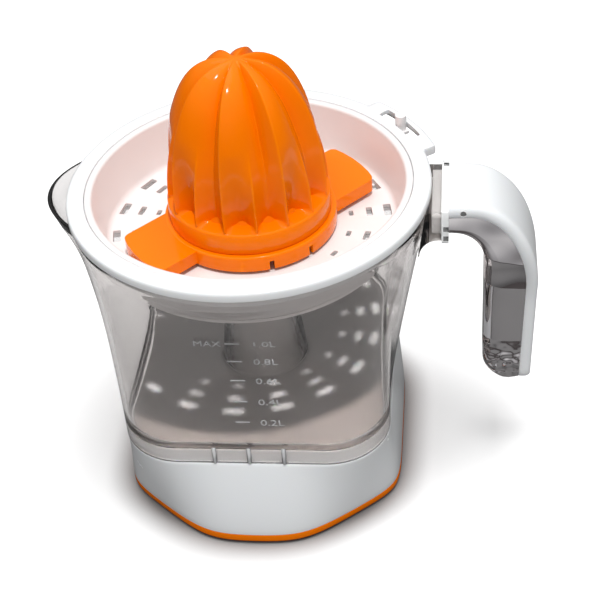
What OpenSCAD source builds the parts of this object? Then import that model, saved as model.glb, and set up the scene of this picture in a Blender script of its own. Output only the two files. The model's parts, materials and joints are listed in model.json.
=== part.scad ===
// Citrus press juicer: a motor base, a clear jug with a side handle that stands on it, a strainer
// in the jug's mouth and a ribbed pressing cone turned by a shaft through the middle.
// Millimetres, +Z up. The origin is on the table under the middle of the base; the drive shaft
// runs up the Z axis, the handle points along +X and the spout along -X.

/* [Base] */
// Height of the base's shoulder, where the jug's skirt rests
shoulder_z = 43.4; // [42:0.2:46]
// Distance from the axis to the base's front and back facets at the table
base_front = 81; // [79:0.5:84]
// Distance from the axis to the base's diagonal facets at the table
base_diagonal = 77; // [75:0.5:79]
// Distance from the axis to the base's side facets at the table
base_side = 67.5; // [66:0.5:69]
// Height of the coloured band round the foot of the base
trim_h = 4.4; // [3.6:0.2:5.2]

/* [Jug] */
// Half width of the jug's skirt, along X
jug_half_x = 63.4; // [62.5:0.1:64.5]
// Half depth of the jug's skirt, along Y
jug_half_y = 70.4; // [69.5:0.1:71.5]
// Corner radius of the jug's skirt
jug_corner = 29; // [27:0.5:31]
// Outside radius of the jug's round mouth
mouth_r = 81.5; // [80.8:0.1:82]
// Height of the jug's rim
mouth_z = 149; // [148.5:0.1:149.5]
// Wall of the jug
jug_wall = 2.2; // [2:0.1:2.4]
// How far the spout stands out of the round mouth
spout_reach = 12.3; // [8:0.1:14]

/* [Strainer] */
// Outside radius of the strainer ring
ring_r = 83; // [82.5:0.1:84]
// Height of the strainer ring's top
ring_z = 153.7; // [153.5:0.1:154]
// Height of the slotted floor's top
floor_z = 130; // [129.6:0.1:130.4]
// Slots round the floor
slot_columns = 18; // [14:1:20]

/* [Cone] */
// Radius over the ribs of the large cone
cone_r = 37.8; // [37:0.1:38.2]
// Height of the large cone's tip
cone_top = 216.4; // [212:0.2:220]
// Radius of the small cone's flange
flange_r = 39.6; // [39.2:0.1:41]
// Main ribs on each cone
rib_count = 8; // [6:2:10]

/* [Handle] */
// Distance from the axis to the outside of the handle
handle_x = 131.2; // [128:0.2:134]
// Height of the handle's lower tip
handle_foot = 46.5; // [44:0.5:56]
// Half width of the handle at the jug
handle_half = 18.8; // [18:0.2:19.4]
// Half width of the handle at the grip
grip_half = 14.5; // [13:0.2:16]

/* [Hidden] */

// columns of points round a lofted skin
around = 72;
cone_around = 96;
// gap left between parts that move past each other
gap = 0.3;
// a cut runs this far past the face it opens
past = 1;

// base
base_wall = 2.4;
feet_h = 1;
plate_low = 0.6;
groove_h = 1;
trim_z = feet_h + trim_h;
plate_t = 2;
platform_z = 50.8;
tower_top = 122;
tower_foot_r = 16.6;
tower_top_r = 10.2;
bush_r = 7;
bush_h = 14;
foot_in = 57.5;
foot_out = 63.5;
boss_x = 44;
boss_y = 28;
boss_z = 7;
boss_r = 4.2;
gland_z = 14;
gland_r = 4.6;
wall_lean = 11.8;
screw_r = 1.5;
screw_head = 1.8;

// drive
pin_teeth = 14;
first_teeth = 42;
second_teeth = 42;
first_m = 0.8;
second_m = 0.9;
motor_y = 37;
motor_r = 24;
lug_x = motor_r + 4.6;
motor_z = 5.2;
motor_h = 19;
deck_z = motor_z + motor_h;
deck_t = 1.5;
bridge_z = 39.5;
bridge_t = 2;
first_z = 27.2;
second_z = 33;
gear_t = 4.8;
shaft_r = 4.5;
spigot_r = 3;
spigot_h = 12;
hex_r = 5.3;
axle_r = 1.5;
running = 0.05;
hex_clear = 0.12;
press = 2.5;
shaft_foot = 8.5;
spring_foot = 6.6;
spring_top = 20.5;
collar_r = 10.5;
hub_top_r = 7;
switch_z = 8;
plunger_y = -9.4;
// screws that hang the gear deck from the bridge, and the bridge from the platform
deck_posts = [[-29, 22], [-29, -16], [29, -16]];
bridge_holes = [[-25, 8], [25, 8]];

// jug
tube_top = 126;
jug_floor = 53.5;
jug_under = 51.3;
neck_x = 90.6;
neck_low = 134.2;
neck_half = 20.6;
neck_plate = 3.2;
mouth_band = 6;

// strainer
rim_r = 74.6;
bowl_r = 71;
bowl_foot_r = 67.5;
hub_r = 8.2;
slot_rows = [[46, 2.2, 4], [54.5, 2.8, 6.8], [63, 3.6, 9]];
slot_start = 9.5;
lever_a = 35;
lever_r = 82.5;
selector_swing = 7;
selector_z = 126.2;
arm_r = 73.6;
arm_t = 1.3;
ledge_z = 151.3;

// cones
flange_z = 131.6;
flange_top = 139.2;
wing_len = 60;
wing_a = 47.5;
wing_low = -25.5;
wing_high = 8;
socket_r = 5.2;
head_foot = 126.2;
head_top = 166;
first_rib = -100;
collar_top = 149.6;
flute_foot = 151.2;
short_rib_top = 188;
dome_r = 22.5;
dome_h = 50;

// handle
handle_top = 151.3;
shell_depth = 5.6;
shell_t = 2;
bend_x = 100;
bend_z = 104;
pin_x = 97;
pin_z = handle_top - 3.4;
pin_r = 1.25;

// ---------- shapes shared by several pieces ----------

// distance from the axis to a rounded rectangle, at angle a
function box_r(a, hx, hy, r) =
    let (c = abs(cos(a)), s = abs(sin(a)), cx = hx - r, cy = hy - r)
    hx * s <= cy * c ? hx / c
    : hy * c <= cx * s ? hy / s
    : cx * c + cy * s + sqrt(r * r - pow(cx * s - cy * c, 2));

// distance from the axis to a softly cornered polygon: facets holds [facing angle, distance]
function facet_r(a, facets) =
    let (sharp = 18, pull = [for (f = facets) pow(max(0, cos(a - f[0])) / f[1], sharp)])
    pow(pull * [for (p = pull) 1], -1 / sharp);

foot_facets = [[0, base_side], [180, base_side], [90, base_front], [-90, base_front],
    [50, base_diagonal], [130, base_diagonal], [-50, base_diagonal], [-130, base_diagonal]];

function skirt_r(a) = box_r(a, jug_half_x, jug_half_y, jug_corner);

// the base's wall: faceted at the table, the jug's rounded rectangle at the shoulder
function base_r(a, z) =
    let (t = pow(min(1, z / shoulder_z), 1.5))
    facet_r(a, foot_facets) * (1 - t) + skirt_r(a) * t;

// the jug's wall: the rounded rectangle below, growing to the round mouth, and out to the spout.
// Front and back stay flat for longer than the sides; the last few millimetres are straight.
function jug_r(a, z) =
    let (
        t = max(0, min(1, (z - jug_floor) / (mouth_z - mouth_band - jug_floor))),
        late = 1 + 3.3 * pow(abs(sin(a)), 4),
        side = skirt_r(a) + (mouth_r - skirt_r(a)) * pow(t, late),
        off = abs(abs(a > 180 ? a - 360 : a) - 180) / 25,
        lift = max(0, (z - 116) / (mouth_z - 116)))
    side + spout_reach * pow(cos(90 * min(1, off)), 1.3) * pow(lift, 1.7);

// one closed loop of points at height z, its radius given for every column
function loop(radii, z) =
    let (n = len(radii))
    [for (i = [0:n - 1]) [radii[i] * cos(360 * i / n), radii[i] * sin(360 * i / n), z]];
function ring_loop(r, z, n = around) = loop([for (i = [0:n - 1]) r], z);
function jug_loop(z, inset = 0) = loop([for (i = [0:around - 1]) jug_r(360 * i / around, z) - inset], z);
function skirt_loop(z, inset = 0) = loop([for (i = [0:around - 1]) skirt_r(360 * i / around) - inset], z);
function base_loop(z, inset = 0) = loop([for (i = [0:around - 1]) base_r(360 * i / around, z) - inset], z);

// skin stretched over loops; it closes on itself, or on flat caps when capped
module skin(loops, capped = false) {
    n = len(loops[0]);
    m = len(loops);
    last = capped ? m - 2 : m - 1;
    sides = [for (i = [0:last]) for (j = [0:n - 1])
        let (k = (j + 1) % n, this = i * n, next = ((i + 1) % m) * n)
        each [[this + j, next + k, this + k], [this + j, next + j, next + k]]];
    caps = capped ? [[for (j = [0:n - 1]) j], [for (j = [n - 1:-1:0]) (m - 1) * n + j]] : [];
    polyhedron(points = [for (l = loops) each l], faces = concat(sides, caps));
}

// tube between two heights
module pipe(outer, inner, z, h) {
    translate([0, 0, z])
        difference() {
            cylinder(r = outer, h = h, $fn = 96);
            translate([0, 0, -past]) cylinder(r = inner, h = h + 2 * past, $fn = 96);
        }
}

// sector of a disc from angle a0 to a1, used as a cutter
module wedge(r, a0, a1, z, h) {
    mid = (a0 + a1) / 2;
    translate([0, 0, z])
        linear_extrude(h)
            polygon([
                [0, 0],
                r * [cos(a0), sin(a0)],
                1.2 * r * [cos(mid), sin(mid)],
                r * [cos(a1), sin(a1)]]);
}

// round post standing at x, y from z up, used for bosses and for the bores cut in them
module post(x, y, z, h, r) {
    translate([x, y, z]) cylinder(r = r, h = h, $fn = 64);
}

// self-tapping screw standing on its head, head at z
module screw(x, y, z, len) {
    translate([x, y, z])
        difference() {
            union() {
                cylinder(r = 2 * screw_r, h = screw_head, $fn = 32);
                cylinder(r = screw_r, h = len, $fn = 32);
            }
            translate([0, 0, -past]) cylinder(r = 0.9 * screw_r, h = past + 1, $fn = 6);
        }
}

// ---------- gears ----------

// a point of the involute of a circle of radius rb, where it reaches radius r
function roll(rb, r) = sqrt(pow(r / rb, 2) - 1) * 180 / PI - acos(rb / r);
function half_tooth(n, m, r) =
    let (rb = n * m / 2 * cos(20), slack = 0.12)
    (90 - slack * 180 / (PI * m)) / n + roll(rb, n * m / 2) - roll(rb, max(rb, r));
function tooth(n, m) =
    let (rb = n * m / 2 * cos(20), low = n * m / 2 - 1.15 * m, high = n * m / 2 + 0.85 * m,
        steps = [low, max(low, rb), for (k = [1:4]) max(low, rb) + (high - max(low, rb)) * k / 4])
    concat(
        [for (r = steps) [r, -half_tooth(n, m, r)]],
        [for (k = [5:-1:0]) [steps[k], half_tooth(n, m, steps[k])]]);

// spur gear with its teeth turned by phase degrees
module gear(n, m, t, phase = 0) {
    one = tooth(n, m);
    linear_extrude(t)
        polygon([for (i = [0:n - 1]) for (p = one)
            let (a = p[1] + phase + 360 * i / n) p[0] * [cos(a), sin(a)]]);
}

// turn of a follower whose teeth mesh with a leader's, with dir the angle from leader to follower
function mesh_phase(n_lead, phase_lead, n_next, dir) =
    dir + 180 - (0.5 - (dir - phase_lead) * n_lead / 360) * 360 / n_next;

first_cd = (pin_teeth + first_teeth) * first_m / 2;
second_cd = (pin_teeth + second_teeth) * second_m / 2;
cluster_a = 90 - acos((pow(motor_y, 2) + pow(second_cd, 2) - pow(first_cd, 2)) / (2 * motor_y * second_cd));
cluster_x = second_cd * cos(cluster_a);
cluster_y = second_cd * sin(cluster_a);
motor_dir = atan2(motor_y - cluster_y, -cluster_x);
cluster_phase = mesh_phase(second_teeth, 0, pin_teeth, cluster_a);
pinion_phase = mesh_phase(first_teeth, cluster_phase, pin_teeth, motor_dir);

// ---------- base ----------

module base_shell() {
    boss_top = platform_z - base_wall + 0.2;
    color("white")
        difference() {
            union() {
                base_skin();
                for (x = [-1, 1], y = [-1, 1])
                    post(x * boss_x, y * boss_y, boss_z, boss_top - boss_z, boss_r);
                for (p = bridge_holes)
                    post(p[0], p[1], bridge_z + bridge_t, boss_top - bridge_z - bridge_t, boss_r);
            }
            for (x = [-1, 1], y = [-1, 1])
                post(x * boss_x, y * boss_y, boss_z - past, 10, screw_r);
            for (p = bridge_holes)
                post(p[0], p[1], bridge_z, 9, screw_r);
            gland_axis() cylinder(r = gland_r, h = 20, center = true, $fn = 48);
        }
}

// the housing's wall: up the outside, over the platform and the tower, and down the inside
module base_skin() {
    skin([
        for (z = [trim_z, 12, 20, 28, 36, 41]) base_loop(z),
        skirt_loop(shoulder_z),
        skirt_loop(shoulder_z, jug_wall + 0.6),
        skirt_loop(platform_z - 1.2, jug_wall + 0.8),
        skirt_loop(platform_z, jug_wall + 2),
        ring_loop(tower_foot_r + 0.6, platform_z),
        ring_loop(tower_foot_r, platform_z + 2),
        ring_loop(tower_top_r, tower_top - 1),
        ring_loop(tower_top_r - 1, tower_top),
        ring_loop(bush_r, tower_top),
        ring_loop(bush_r, tower_top - bush_h),
        ring_loop(bush_r + 0.6, tower_top - bush_h),
        ring_loop(tower_foot_r - base_wall, platform_z - base_wall),
        skirt_loop(platform_z - base_wall, jug_wall + 3.4),
        skirt_loop(shoulder_z - 2, jug_wall + 3.4),
        for (z = [36, 28, 20, 12, trim_z]) base_loop(z, base_wall)
    ]);
}

// the cord's hole: square to the leaning back wall, running inwards from its outer face
module gland_axis() {
    translate([0, base_r(90, gland_z), gland_z])
        rotate([90 + wall_lean, 0, 0])
            children();
}

module base_trim() {
    color("orange")
        skin([
            base_loop(feet_h + 0.2, 0.6),
            base_loop(feet_h + 0.8),
            base_loop(trim_z),
            base_loop(trim_z, base_wall),
            base_loop(feet_h + 0.2, base_wall)
        ]);
}

module base_plate() {
    edge = [for (i = [0:around - 1]) base_r(360 * i / around, feet_h) - base_wall - gap];
    color("gainsboro")
        difference() {
            union() {
                translate([0, 0, plate_low])
                    linear_extrude(plate_t)
                        polygon([for (i = [0:around - 1])
                            edge[i] * [cos(360 * i / around), sin(360 * i / around)]]);
                pipe(7.5, 5.6, feet_h, spring_foot - feet_h);
                for (x = [-1, 1], y = [-1, 1])
                    post(x * boss_x, y * boss_y, feet_h, boss_z - feet_h, boss_r);
                for (y = [-12, -24])
                    post(0, y, feet_h, switch_z - feet_h, 2.5);
            }
            pipe(foot_out - 2, foot_in + 2, 0, plate_low + groove_h);
            for (x = [-1, 1], y = [-1, 1]) {
                post(x * boss_x, y * boss_y, 0, 10, screw_r);
                post(x * boss_x, y * boss_y, 0, plate_low + screw_head, 2 * screw_r + 0.2);
            }
            for (x = [-4:4])
                translate([x * 5, -40, 0]) cube([2, 18, 12], center = true);
        }
}

// rubber ring the base stands on, with a ridge held in the plate's groove
module foot_ring() {
    color("dimgray")
        union() {
            pipe(foot_out, foot_in, 0, plate_low);
            pipe(foot_out - 2 - running, foot_in + 2 + running, 0, plate_low + groove_h - running);
        }
}

module plate_screws() {
    color("silver")
        for (x = [-1, 1], y = [-1, 1])
            screw(x * boss_x, y * boss_y, plate_low, 14);
}

// ---------- motor and gears ----------

module motor_can() {
    color("silver")
        difference() {
            union() {
                post(0, motor_y, motor_z, motor_h, motor_r);
                translate([0, motor_y, deck_z - 0.6]) cube([2 * lug_x + 7, 9, 1.2], center = true);
            }
            post(0, motor_y, motor_z + 1.2, motor_h, motor_r - 1.2);
            for (s = [-1, 1])
                post(s * lug_x, motor_y, deck_z - 3, 5, screw_r);
        }
}

module motor_coil() {
    color("peru")
        translate([0, motor_y, 0]) pipe(motor_r - 1.6, 14, motor_z + 1.2, motor_h - 2.4);
}

module motor_screws() {
    color("dimgray")
        for (s = [-1, 1])
            screw(s * lug_x, motor_y, deck_z - 1.2 - screw_head, 6);
}

// the square plate above and below the gears
module gear_plate(z, t) {
    translate([0, 10.5, z + t / 2]) cube([66, 63, t], center = true);
}

module gear_deck() {
    color("lightgray")
        difference() {
            union() {
                gear_plate(deck_z, deck_t);
                post(0, motor_y, deck_z, deck_t, motor_r);
            }
            post(0, motor_y, deck_z - past, 5, 4);
            post(0, 0, deck_z - past, 5, hex_r + 1.4);
            post(cluster_x, cluster_y, deck_z - past, 5, axle_r);
            for (p = deck_posts)
                post(p[0], p[1], deck_z - past, 5, screw_r);
            for (s = [-1, 1])
                post(s * lug_x, motor_y, deck_z - past, 5, screw_r);
        }
}

module deck_screws() {
    color("dimgray")
        for (p = deck_posts)
            screw(p[0], p[1], deck_z - screw_head, 8);
}

module gear_axle() {
    color("silver")
        post(cluster_x, cluster_y, deck_z, bridge_z + bridge_t - deck_z, axle_r);
}

module gear_bridge() {
    low = deck_z + deck_t;
    color("whitesmoke")
        difference() {
            union() {
                gear_plate(bridge_z, bridge_t);
                for (p = deck_posts)
                    post(p[0], p[1], low, bridge_z + past - low, 3.4);
            }
            for (p = deck_posts)
                post(p[0], p[1], deck_z, 8, screw_r);
            for (p = bridge_holes)
                post(p[0], p[1], bridge_z - past, 5, screw_r);
            post(0, 0, bridge_z - past, 5, hex_r + 1.4);
            post(cluster_x, cluster_y, bridge_z - past, 5, axle_r);
            post(0, motor_y, bridge_z - past, 5, axle_r + running);
        }
}

module bridge_screws() {
    color("dimgray")
        for (p = bridge_holes)
            screw(p[0], p[1], bridge_z - screw_head, 10.5);
}

module rotor() {
    color("gray")
        union() {
            post(0, motor_y, motor_z + 2.4, motor_h - 4.8, 12.5);
            post(0, motor_y, motor_z + 1.4, bridge_z + 1.6 - motor_z - 1.4, axle_r);
        }
}

module motor_pinion() {
    low = deck_z + deck_t + gap;
    color("ivory")
        difference() {
            translate([0, motor_y, low])
                gear(pin_teeth, first_m, first_z + gear_t - low, pinion_phase);
            post(0, motor_y, deck_z, 20, axle_r);
        }
}

module cluster_gear() {
    color("ivory")
        difference() {
            union() {
                translate([cluster_x, cluster_y, first_z]) {
                    gear(first_teeth, first_m, gear_t, cluster_phase);
                    translate([0, 0, gear_t]) gear(pin_teeth, second_m, second_z - first_z, cluster_phase);
                }
                post(cluster_x, cluster_y, deck_z + deck_t + gap, 3, 2 * axle_r);
            }
            post(cluster_x, cluster_y, deck_z, 20, axle_r + running);
        }
}

module output_gear() {
    low = deck_z + deck_t + gap;
    color("ivory")
        difference() {
            union() {
                translate([0, 0, second_z]) gear(second_teeth, second_m, gear_t);
                post(0, 0, low, bridge_z - gap - low, hub_top_r);
            }
            translate([0, 0, deck_z]) cylinder(r = hex_r + hex_clear, h = 30, $fn = 6);
        }
}

// ---------- drive shaft and switch ----------

module drive_shaft() {
    color("silver")
        union() {
            post(0, 0, shaft_foot, head_foot - shaft_foot, shaft_r);
            post(0, 0, head_foot - past, spigot_h + past, spigot_r);
            translate([0, 0, deck_z - press])
                cylinder(r = hex_r, h = bridge_z + 6 - deck_z + press, $fn = 6);
            post(0, 0, spring_top, deck_z - gap - spring_top, collar_r);
        }
}

module drive_head() {
    color("white")
        difference() {
            union() {
                post(0, 0, head_foot, 2.4, 6.2);
                translate([0, 0, head_foot])
                    cylinder(r = socket_r - 0.2, h = head_top - head_foot, $fn = 6);
            }
            post(0, 0, head_foot - past, spigot_h + past, spigot_r);
        }
}

module return_spring() {
    wire = 0.5;
    turns = 6;
    steps = 12;
    coil_r = 6.6;
    rise = spring_top - spring_foot - 2 * wire;
    function on_coil(i) =
        let (a = 360 * i / steps)
        [coil_r * cos(a), coil_r * sin(a), spring_foot + wire + rise * i / (turns * steps)];
    color("silver")
        for (i = [0:turns * steps - 1])
            hull() {
                translate(on_coil(i)) sphere(r = wire, $fn = 6);
                translate(on_coil(i + 1)) sphere(r = wire, $fn = 6);
            }
}

module shaft_bush() {
    color("goldenrod")
        pipe(bush_r - 0.02, shaft_r + running, tower_top - bush_h, bush_h);
}

module shaft_seal() {
    color("dimgray")
        pipe(bush_r + 2, shaft_r + running, tower_top, 1.2);
}

module switch_body() {
    color("black")
        difference() {
            translate([-6.5, plunger_y - 18.6, switch_z]) cube([13, 20.4, 9]);
            translate([-1.7, plunger_y - 1.2, switch_z + 2]) cube([3.4, 2.4, 10]);
        }
}

module switch_plunger() {
    low = switch_z + 2 + press + gap;
    color("red")
        translate([-1.4, plunger_y - 0.9, low]) cube([2.8, 1.8, spring_top - 0.1 - low]);
}

module cord_gland() {
    play = 0.15;
    flange_t = 1.8;
    color("dimgray")
        gland_axis()
            difference() {
                union() {
                    translate([0, 0, -flange_t - play])
                        cylinder(r = gland_r - running, h = 8, $fn = 48);
                    for (z = [-flange_t - play, base_wall + play])
                        translate([0, 0, z]) cylinder(r = gland_r + 1.6, h = flange_t, $fn = 48);
                }
                cylinder(r = 2.6, h = 40, center = true, $fn = 32);
            }
}

// ---------- jug and handle ----------

module jug() {
    straight_z = mouth_z - mouth_band;
    color("lightcyan", 0.4)
        union() {
            skin([
                skirt_loop(shoulder_z),
                for (z = [jug_floor, 70, 88, 104, 116, 125, 133, 138.5, straight_z, mouth_z]) jug_loop(z),
                for (z = [mouth_z, straight_z, 133, 120, 100, 80, jug_floor + 3]) jug_loop(z, jug_wall),
                skirt_loop(jug_floor, jug_wall + 3),
                ring_loop(tower_foot_r + 6, jug_floor),
                ring_loop(tower_foot_r + 3.6, jug_floor + 2),
                ring_loop(tower_top_r + 2.8, tube_top),
                ring_loop(tower_top_r + 0.9, tube_top),
                ring_loop(tower_foot_r + 1.2, jug_under),
                skirt_loop(jug_under, jug_wall + 0.3),
                skirt_loop(shoulder_z, jug_wall)
            ]);
            for (x = [-1:1])
                translate([x * 16.2, -jug_half_y - 0.65, shoulder_z + 0.3])
                    rotate([0, 0, 45]) cube([1.8, 1.8, jug_floor - shoulder_z - 1]);
            neck();
        }
}

// the hollow arm that carries the handle: it grows out of the jug's wall and ends in a flange
module neck() {
    under = [for (a = [0:15:90]) [mouth_r + 4.5 - 8.5 * sin(a), neck_low - 9 + 9 * cos(a)]];
    in_x = mouth_r - 10;
    difference() {
        union() {
            rotate([90, 0, 0])
                linear_extrude(2 * neck_half - 2, center = true)
                    polygon(concat(
                        [[neck_x, neck_low]],
                        under,
                        [[in_x, neck_low - 9], [in_x, mouth_z], [neck_x, mouth_z]]));
            translate([neck_x - neck_plate, -neck_half, neck_low - 1.4])
                cube([neck_plate, 2 * neck_half, mouth_z + 3.2 - neck_low]);
        }
        translate([mouth_r + 1.6, -neck_half + 3.4, neck_low + 2.4])
            cube([20, 2 * neck_half - 6.8, mouth_z - neck_low - 4.8]);
        wall_middle();
    }
}

// everything inside the middle of the jug's wall, near its mouth
module wall_middle() {
    low = 110;
    half_wall = jug_wall - 0.7;
    rotate_extrude($fn = 144)
        polygon([[0, low], [jug_r(0, low) - half_wall, low], [mouth_r - half_wall, mouth_z - mouth_band],
            [mouth_r - half_wall, mouth_z + past], [0, mouth_z + past]]);
}

// outside of the handle seen from the side, from the jug round to the foot, moved in by d
function outer_path(d) = concat(
    [[neck_x, handle_top - d]],
    [for (a = [90:-7.5:0])
        [bend_x + (handle_x - bend_x - d) * cos(a), bend_z + (handle_top - bend_z - d) * sin(a)]],
    [[handle_x - 1.8 - d, handle_foot + 4]],
    [for (a = [0:-30:-90]) [handle_x - 4.8 - d + 3 * cos(a), handle_foot + 3.4 + 3 * sin(a)]]);

// inside of the handle, from the foot back up to the jug, moved in by d
function inner_path(d) = concat(
    [for (a = [-90:-15:-180]) [116 + (10 - d) * cos(a), handle_foot + 10.6 + (10 - d) * sin(a)]],
    [for (a = [0:10:90]) [neck_x + 1.8 + (14.2 + d) * cos(a), neck_low - 18 + (17.8 + d) * sin(a)]],
    [[neck_x, neck_low - 0.2 + d]]);

// half width of the handle at each height, less an inset
function handle_halves(inset) = concat(
    [[handle_half - inset, handle_top + past]],
    [for (t = [0:0.1:1]) let (ease = t * t * (3 - 2 * t))
        [handle_half - inset - (handle_half - grip_half) * ease, neck_low - (neck_low - 92) * t]],
    [[grip_half - inset, handle_foot - past]]);

// a side outline given the handle's changing width
module handle_slab(outline, inset = 0) {
    right = handle_halves(inset);
    intersection() {
        rotate([90, 0, 0])
            linear_extrude(60, center = true) polygon(outline);
        rotate([90, 0, 90])
            linear_extrude(200)
                polygon(concat(right, [for (i = [len(right) - 1:-1:0]) [-right[i][0], right[i][1]]]));
    }
}

module handle_grip() {
    wall = 2.4;
    color("silver")
        difference() {
            union() {
                handle_slab(concat(outer_path(shell_depth), inner_path(0)), 0.6);
                translate([mouth_r + 3.4, -neck_half + 3.6, neck_low + 2.6])
                    cube([neck_x + 4 - mouth_r - 3.4, 2 * neck_half - 7.2, mouth_z - neck_low - 6.4]);
            }
            handle_slab(
                [for (p = concat(outer_path(shell_depth - 3), inner_path(wall)))
                    [max(neck_x + wall, p[0]), max(p[1], handle_foot + wall)]],
                0.6 + wall);
        }
}

module handle_shell() {
    band_out = outer_path(0);
    band_in = outer_path(shell_depth - 0.2);
    deep_in = outer_path(shell_depth + 1);
    n = len(band_out) - 1;
    deep = concat(outer_path(shell_t), [for (i = [n:-1:0]) deep_in[i]]);
    color("white")
        difference() {
            handle_slab(concat(band_out, [for (i = [n:-1:0]) band_in[i]]));
            handle_slab(
                [for (p = deep) [max(neck_x + shell_t, p[0]), max(p[1], handle_foot + shell_t + 1)]],
                shell_t);
            translate([pin_x, 0, pin_z])
                rotate([90, 0, 0]) cylinder(r = pin_r, h = 60, center = true, $fn = 32);
        }
}

module handle_pin() {
    color("dimgray")
        translate([pin_x, 0, pin_z])
            rotate([90, 0, 0]) cylinder(r = pin_r, h = 2 * handle_half - 0.4, center = true, $fn = 32);
}

// ---------- strainer ----------

// slots of the strainer's floor, from z up by h
module slots(z, h) {
    for (i = [0:slot_columns - 1], s = slot_rows)
        rotate([0, 0, slot_start + 360 * i / slot_columns])
            translate([s[0], 0, z + h / 2]) cube([s[1], s[2], h], center = true);
}

module strainer_ring() {
    lug_r = 89;
    low = mouth_z + 0.2;
    skirt_low = low - 5;
    skirt_out = mouth_r - jug_wall - 0.4;
    slot_half = selector_swing + 2.4;
    color("white")
        difference() {
            union() {
                rotate_extrude($fn = 144)
                    polygon([
                        [rim_r + gap, ring_z], [ring_r - 1.2, ring_z], [ring_r, ring_z - 1.2],
                        [ring_r, low], [skirt_out, low], [skirt_out, skirt_low],
                        [skirt_out - 1.6, skirt_low], [skirt_out - 1.6, low],
                        [bowl_r + 2.4, low], [bowl_r + 2.4, ledge_z], [rim_r + gap, ledge_z]]);
                intersection() {
                    pipe(lug_r, ring_r - 2, low, ring_z - low);
                    wedge(120, 18, 52, 0, 300);
                }
            }
            // room for the selector's arm under the top, and the slot its lever moves in
            intersection() {
                pipe(lug_r - 2, bowl_r, low - 10, 12.6);
                wedge(120, lever_a - slot_half - 3, lever_a + slot_half + 3, 0, 300);
            }
            intersection() {
                pipe(lever_r + 3, lever_r - 3, low, 20);
                wedge(120, lever_a - slot_half, lever_a + slot_half, 0, 300);
            }
        }
}

module strainer_basket() {
    t = 1.8;
    color("white")
        difference() {
            rotate_extrude($fn = 144)
                polygon([
                    [hub_r, floor_z - t], [bowl_foot_r - 0.6, floor_z - t],
                    [bowl_foot_r + t, floor_z + 0.6], [bowl_r + t, mouth_z],
                    [bowl_r + t, ledge_z], [rim_r, ledge_z],
                    [rim_r, ring_z - 0.3], [bowl_r + 0.6, ring_z - 0.3], [bowl_r, ring_z - 1.2],
                    [bowl_foot_r + 0.4, floor_z + 1.2], [bowl_foot_r - 1.4, floor_z],
                    [hub_r + t + 1, floor_z], [hub_r + t, floor_z + 3.4], [hub_r, floor_z + 3.4]]);
            slots(floor_z - t - past, t + 2 * past);
        }
}

module pulp_selector() {
    t = 1.6;
    arm_w = 8;
    arm_top = mouth_z + 1.9;
    color("whitesmoke")
        union() {
            difference() {
                pipe(bowl_foot_r - 1, tower_top_r + 6, selector_z, t);
                slots(selector_z - past, t + 2 * past);
            }
            rotate([0, 0, lever_a]) {
                translate([bowl_foot_r - 4, -arm_w / 2, selector_z])
                    cube([arm_r + arm_t + 4 - bowl_foot_r, arm_w, t]);
                translate([arm_r, -arm_w / 2, selector_z]) cube([arm_t, arm_w, arm_top - selector_z]);
                translate([arm_r, -arm_w / 2, arm_top - arm_t]) cube([lever_r + 2 - arm_r, arm_w, arm_t]);
                post(lever_r, 0, arm_top - 1, ring_z + 5.6 - arm_top, 2.6);
            }
        }
}

// ---------- cones ----------

// small cone in one piece with the flange, its two sweeping wings and the driven socket
module small_cone() {
    slit_turns = [-70, -41, 110, 139];
    color("orange")
        difference() {
            union() {
                small_cone_body();
                for (i = [0:rib_count / 2 - 1])
                    rotate([90, 0, first_rib + 360 * i / rib_count]) small_ribs();
                wings();
            }
            translate([0, 0, floor_z]) cylinder(r = socket_r, h = head_top + 0.6 - floor_z, $fn = 6);
            for (a = slit_turns)
                rotate([0, 0, a])
                    translate([flange_r, 0, flange_z]) cube([6, 2.2, 9], center = true);
        }
}

// the dome with the flange round its foot and the socket's tube inside
module small_cone_body() {
    t = 1.8;
    tube_r = socket_r + 2;
    rotate_extrude($fn = 96)
        polygon(concat(
            [[flange_r, flange_z], [flange_r, flange_top - 0.8], [flange_r - 0.8, flange_top]],
            [for (a = [0:10:80]) [dome_r * cos(a), flange_top + dome_h * sin(a)]],
            [[0, flange_top + dome_h], [0, floor_z + 4.4], [tube_r, floor_z + 4.4]],
            [for (a = [65:-13:0]) [(dome_r - t) * cos(a), flange_top - t + dome_h * sin(a)]],
            [[flange_r - t, flange_top - t], [flange_r - t, flange_z]]));
}

// one pair of opposite ribs, over the dome from side to side
module small_ribs() {
    linear_extrude(1.6, center = true)
        polygon(concat(
            [for (a = [0:10:180]) [(dome_r + 1.8) * cos(a), flange_top - 1 + (dome_h + 2) * sin(a)]],
            [for (a = [180:-10:0]) [(dome_r - 1) * cos(a), flange_top - 1 + (dome_h - 0.4) * sin(a)]]));
}

module wings() {
    for (turn = [0, 180])
        intersection() {
            pipe(wing_len, flange_r - 1.2, flange_z + 1, flange_top - 0.2 - flange_z - 1);
            rotate([0, 0, wing_a + turn])
                translate([20, wing_low, flange_z]) cube([60, wing_high - wing_low, 20]);
        }
}

// radius over the ribs of the large cone
function cone_env(z) = cone_r * pow(max(0, 1 - pow((z - collar_top) / (cone_top - collar_top), 2)), 0.36);

// the large cone's surface: rib_count main ribs with one steep side, and between them short
// ribs that part the flutes into pairs below
function cone_rad(a, z) =
    let (
        turns = (a - first_rib) * rib_count / 360,
        p = turns - floor(turns),
        main = p < 0.78 ? pow(p / 0.78, 1.6) : (1 - p) / 0.22,
        q = 2 * p - floor(2 * p),
        flute = pow(sin(180 * q), 0.7),
        high = (z - collar_top) / (cone_top - collar_top),
        low = max(0, (short_rib_top - z) / (short_rib_top - flute_foot)),
        env = cone_env(z))
    env - min(0.52 * env,
        7.6 * min(1, 0.4 + 1.2 * high) * main * (1 - 0.85 * low) + 8.5 * pow(low, 1.3) * flute);

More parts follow.
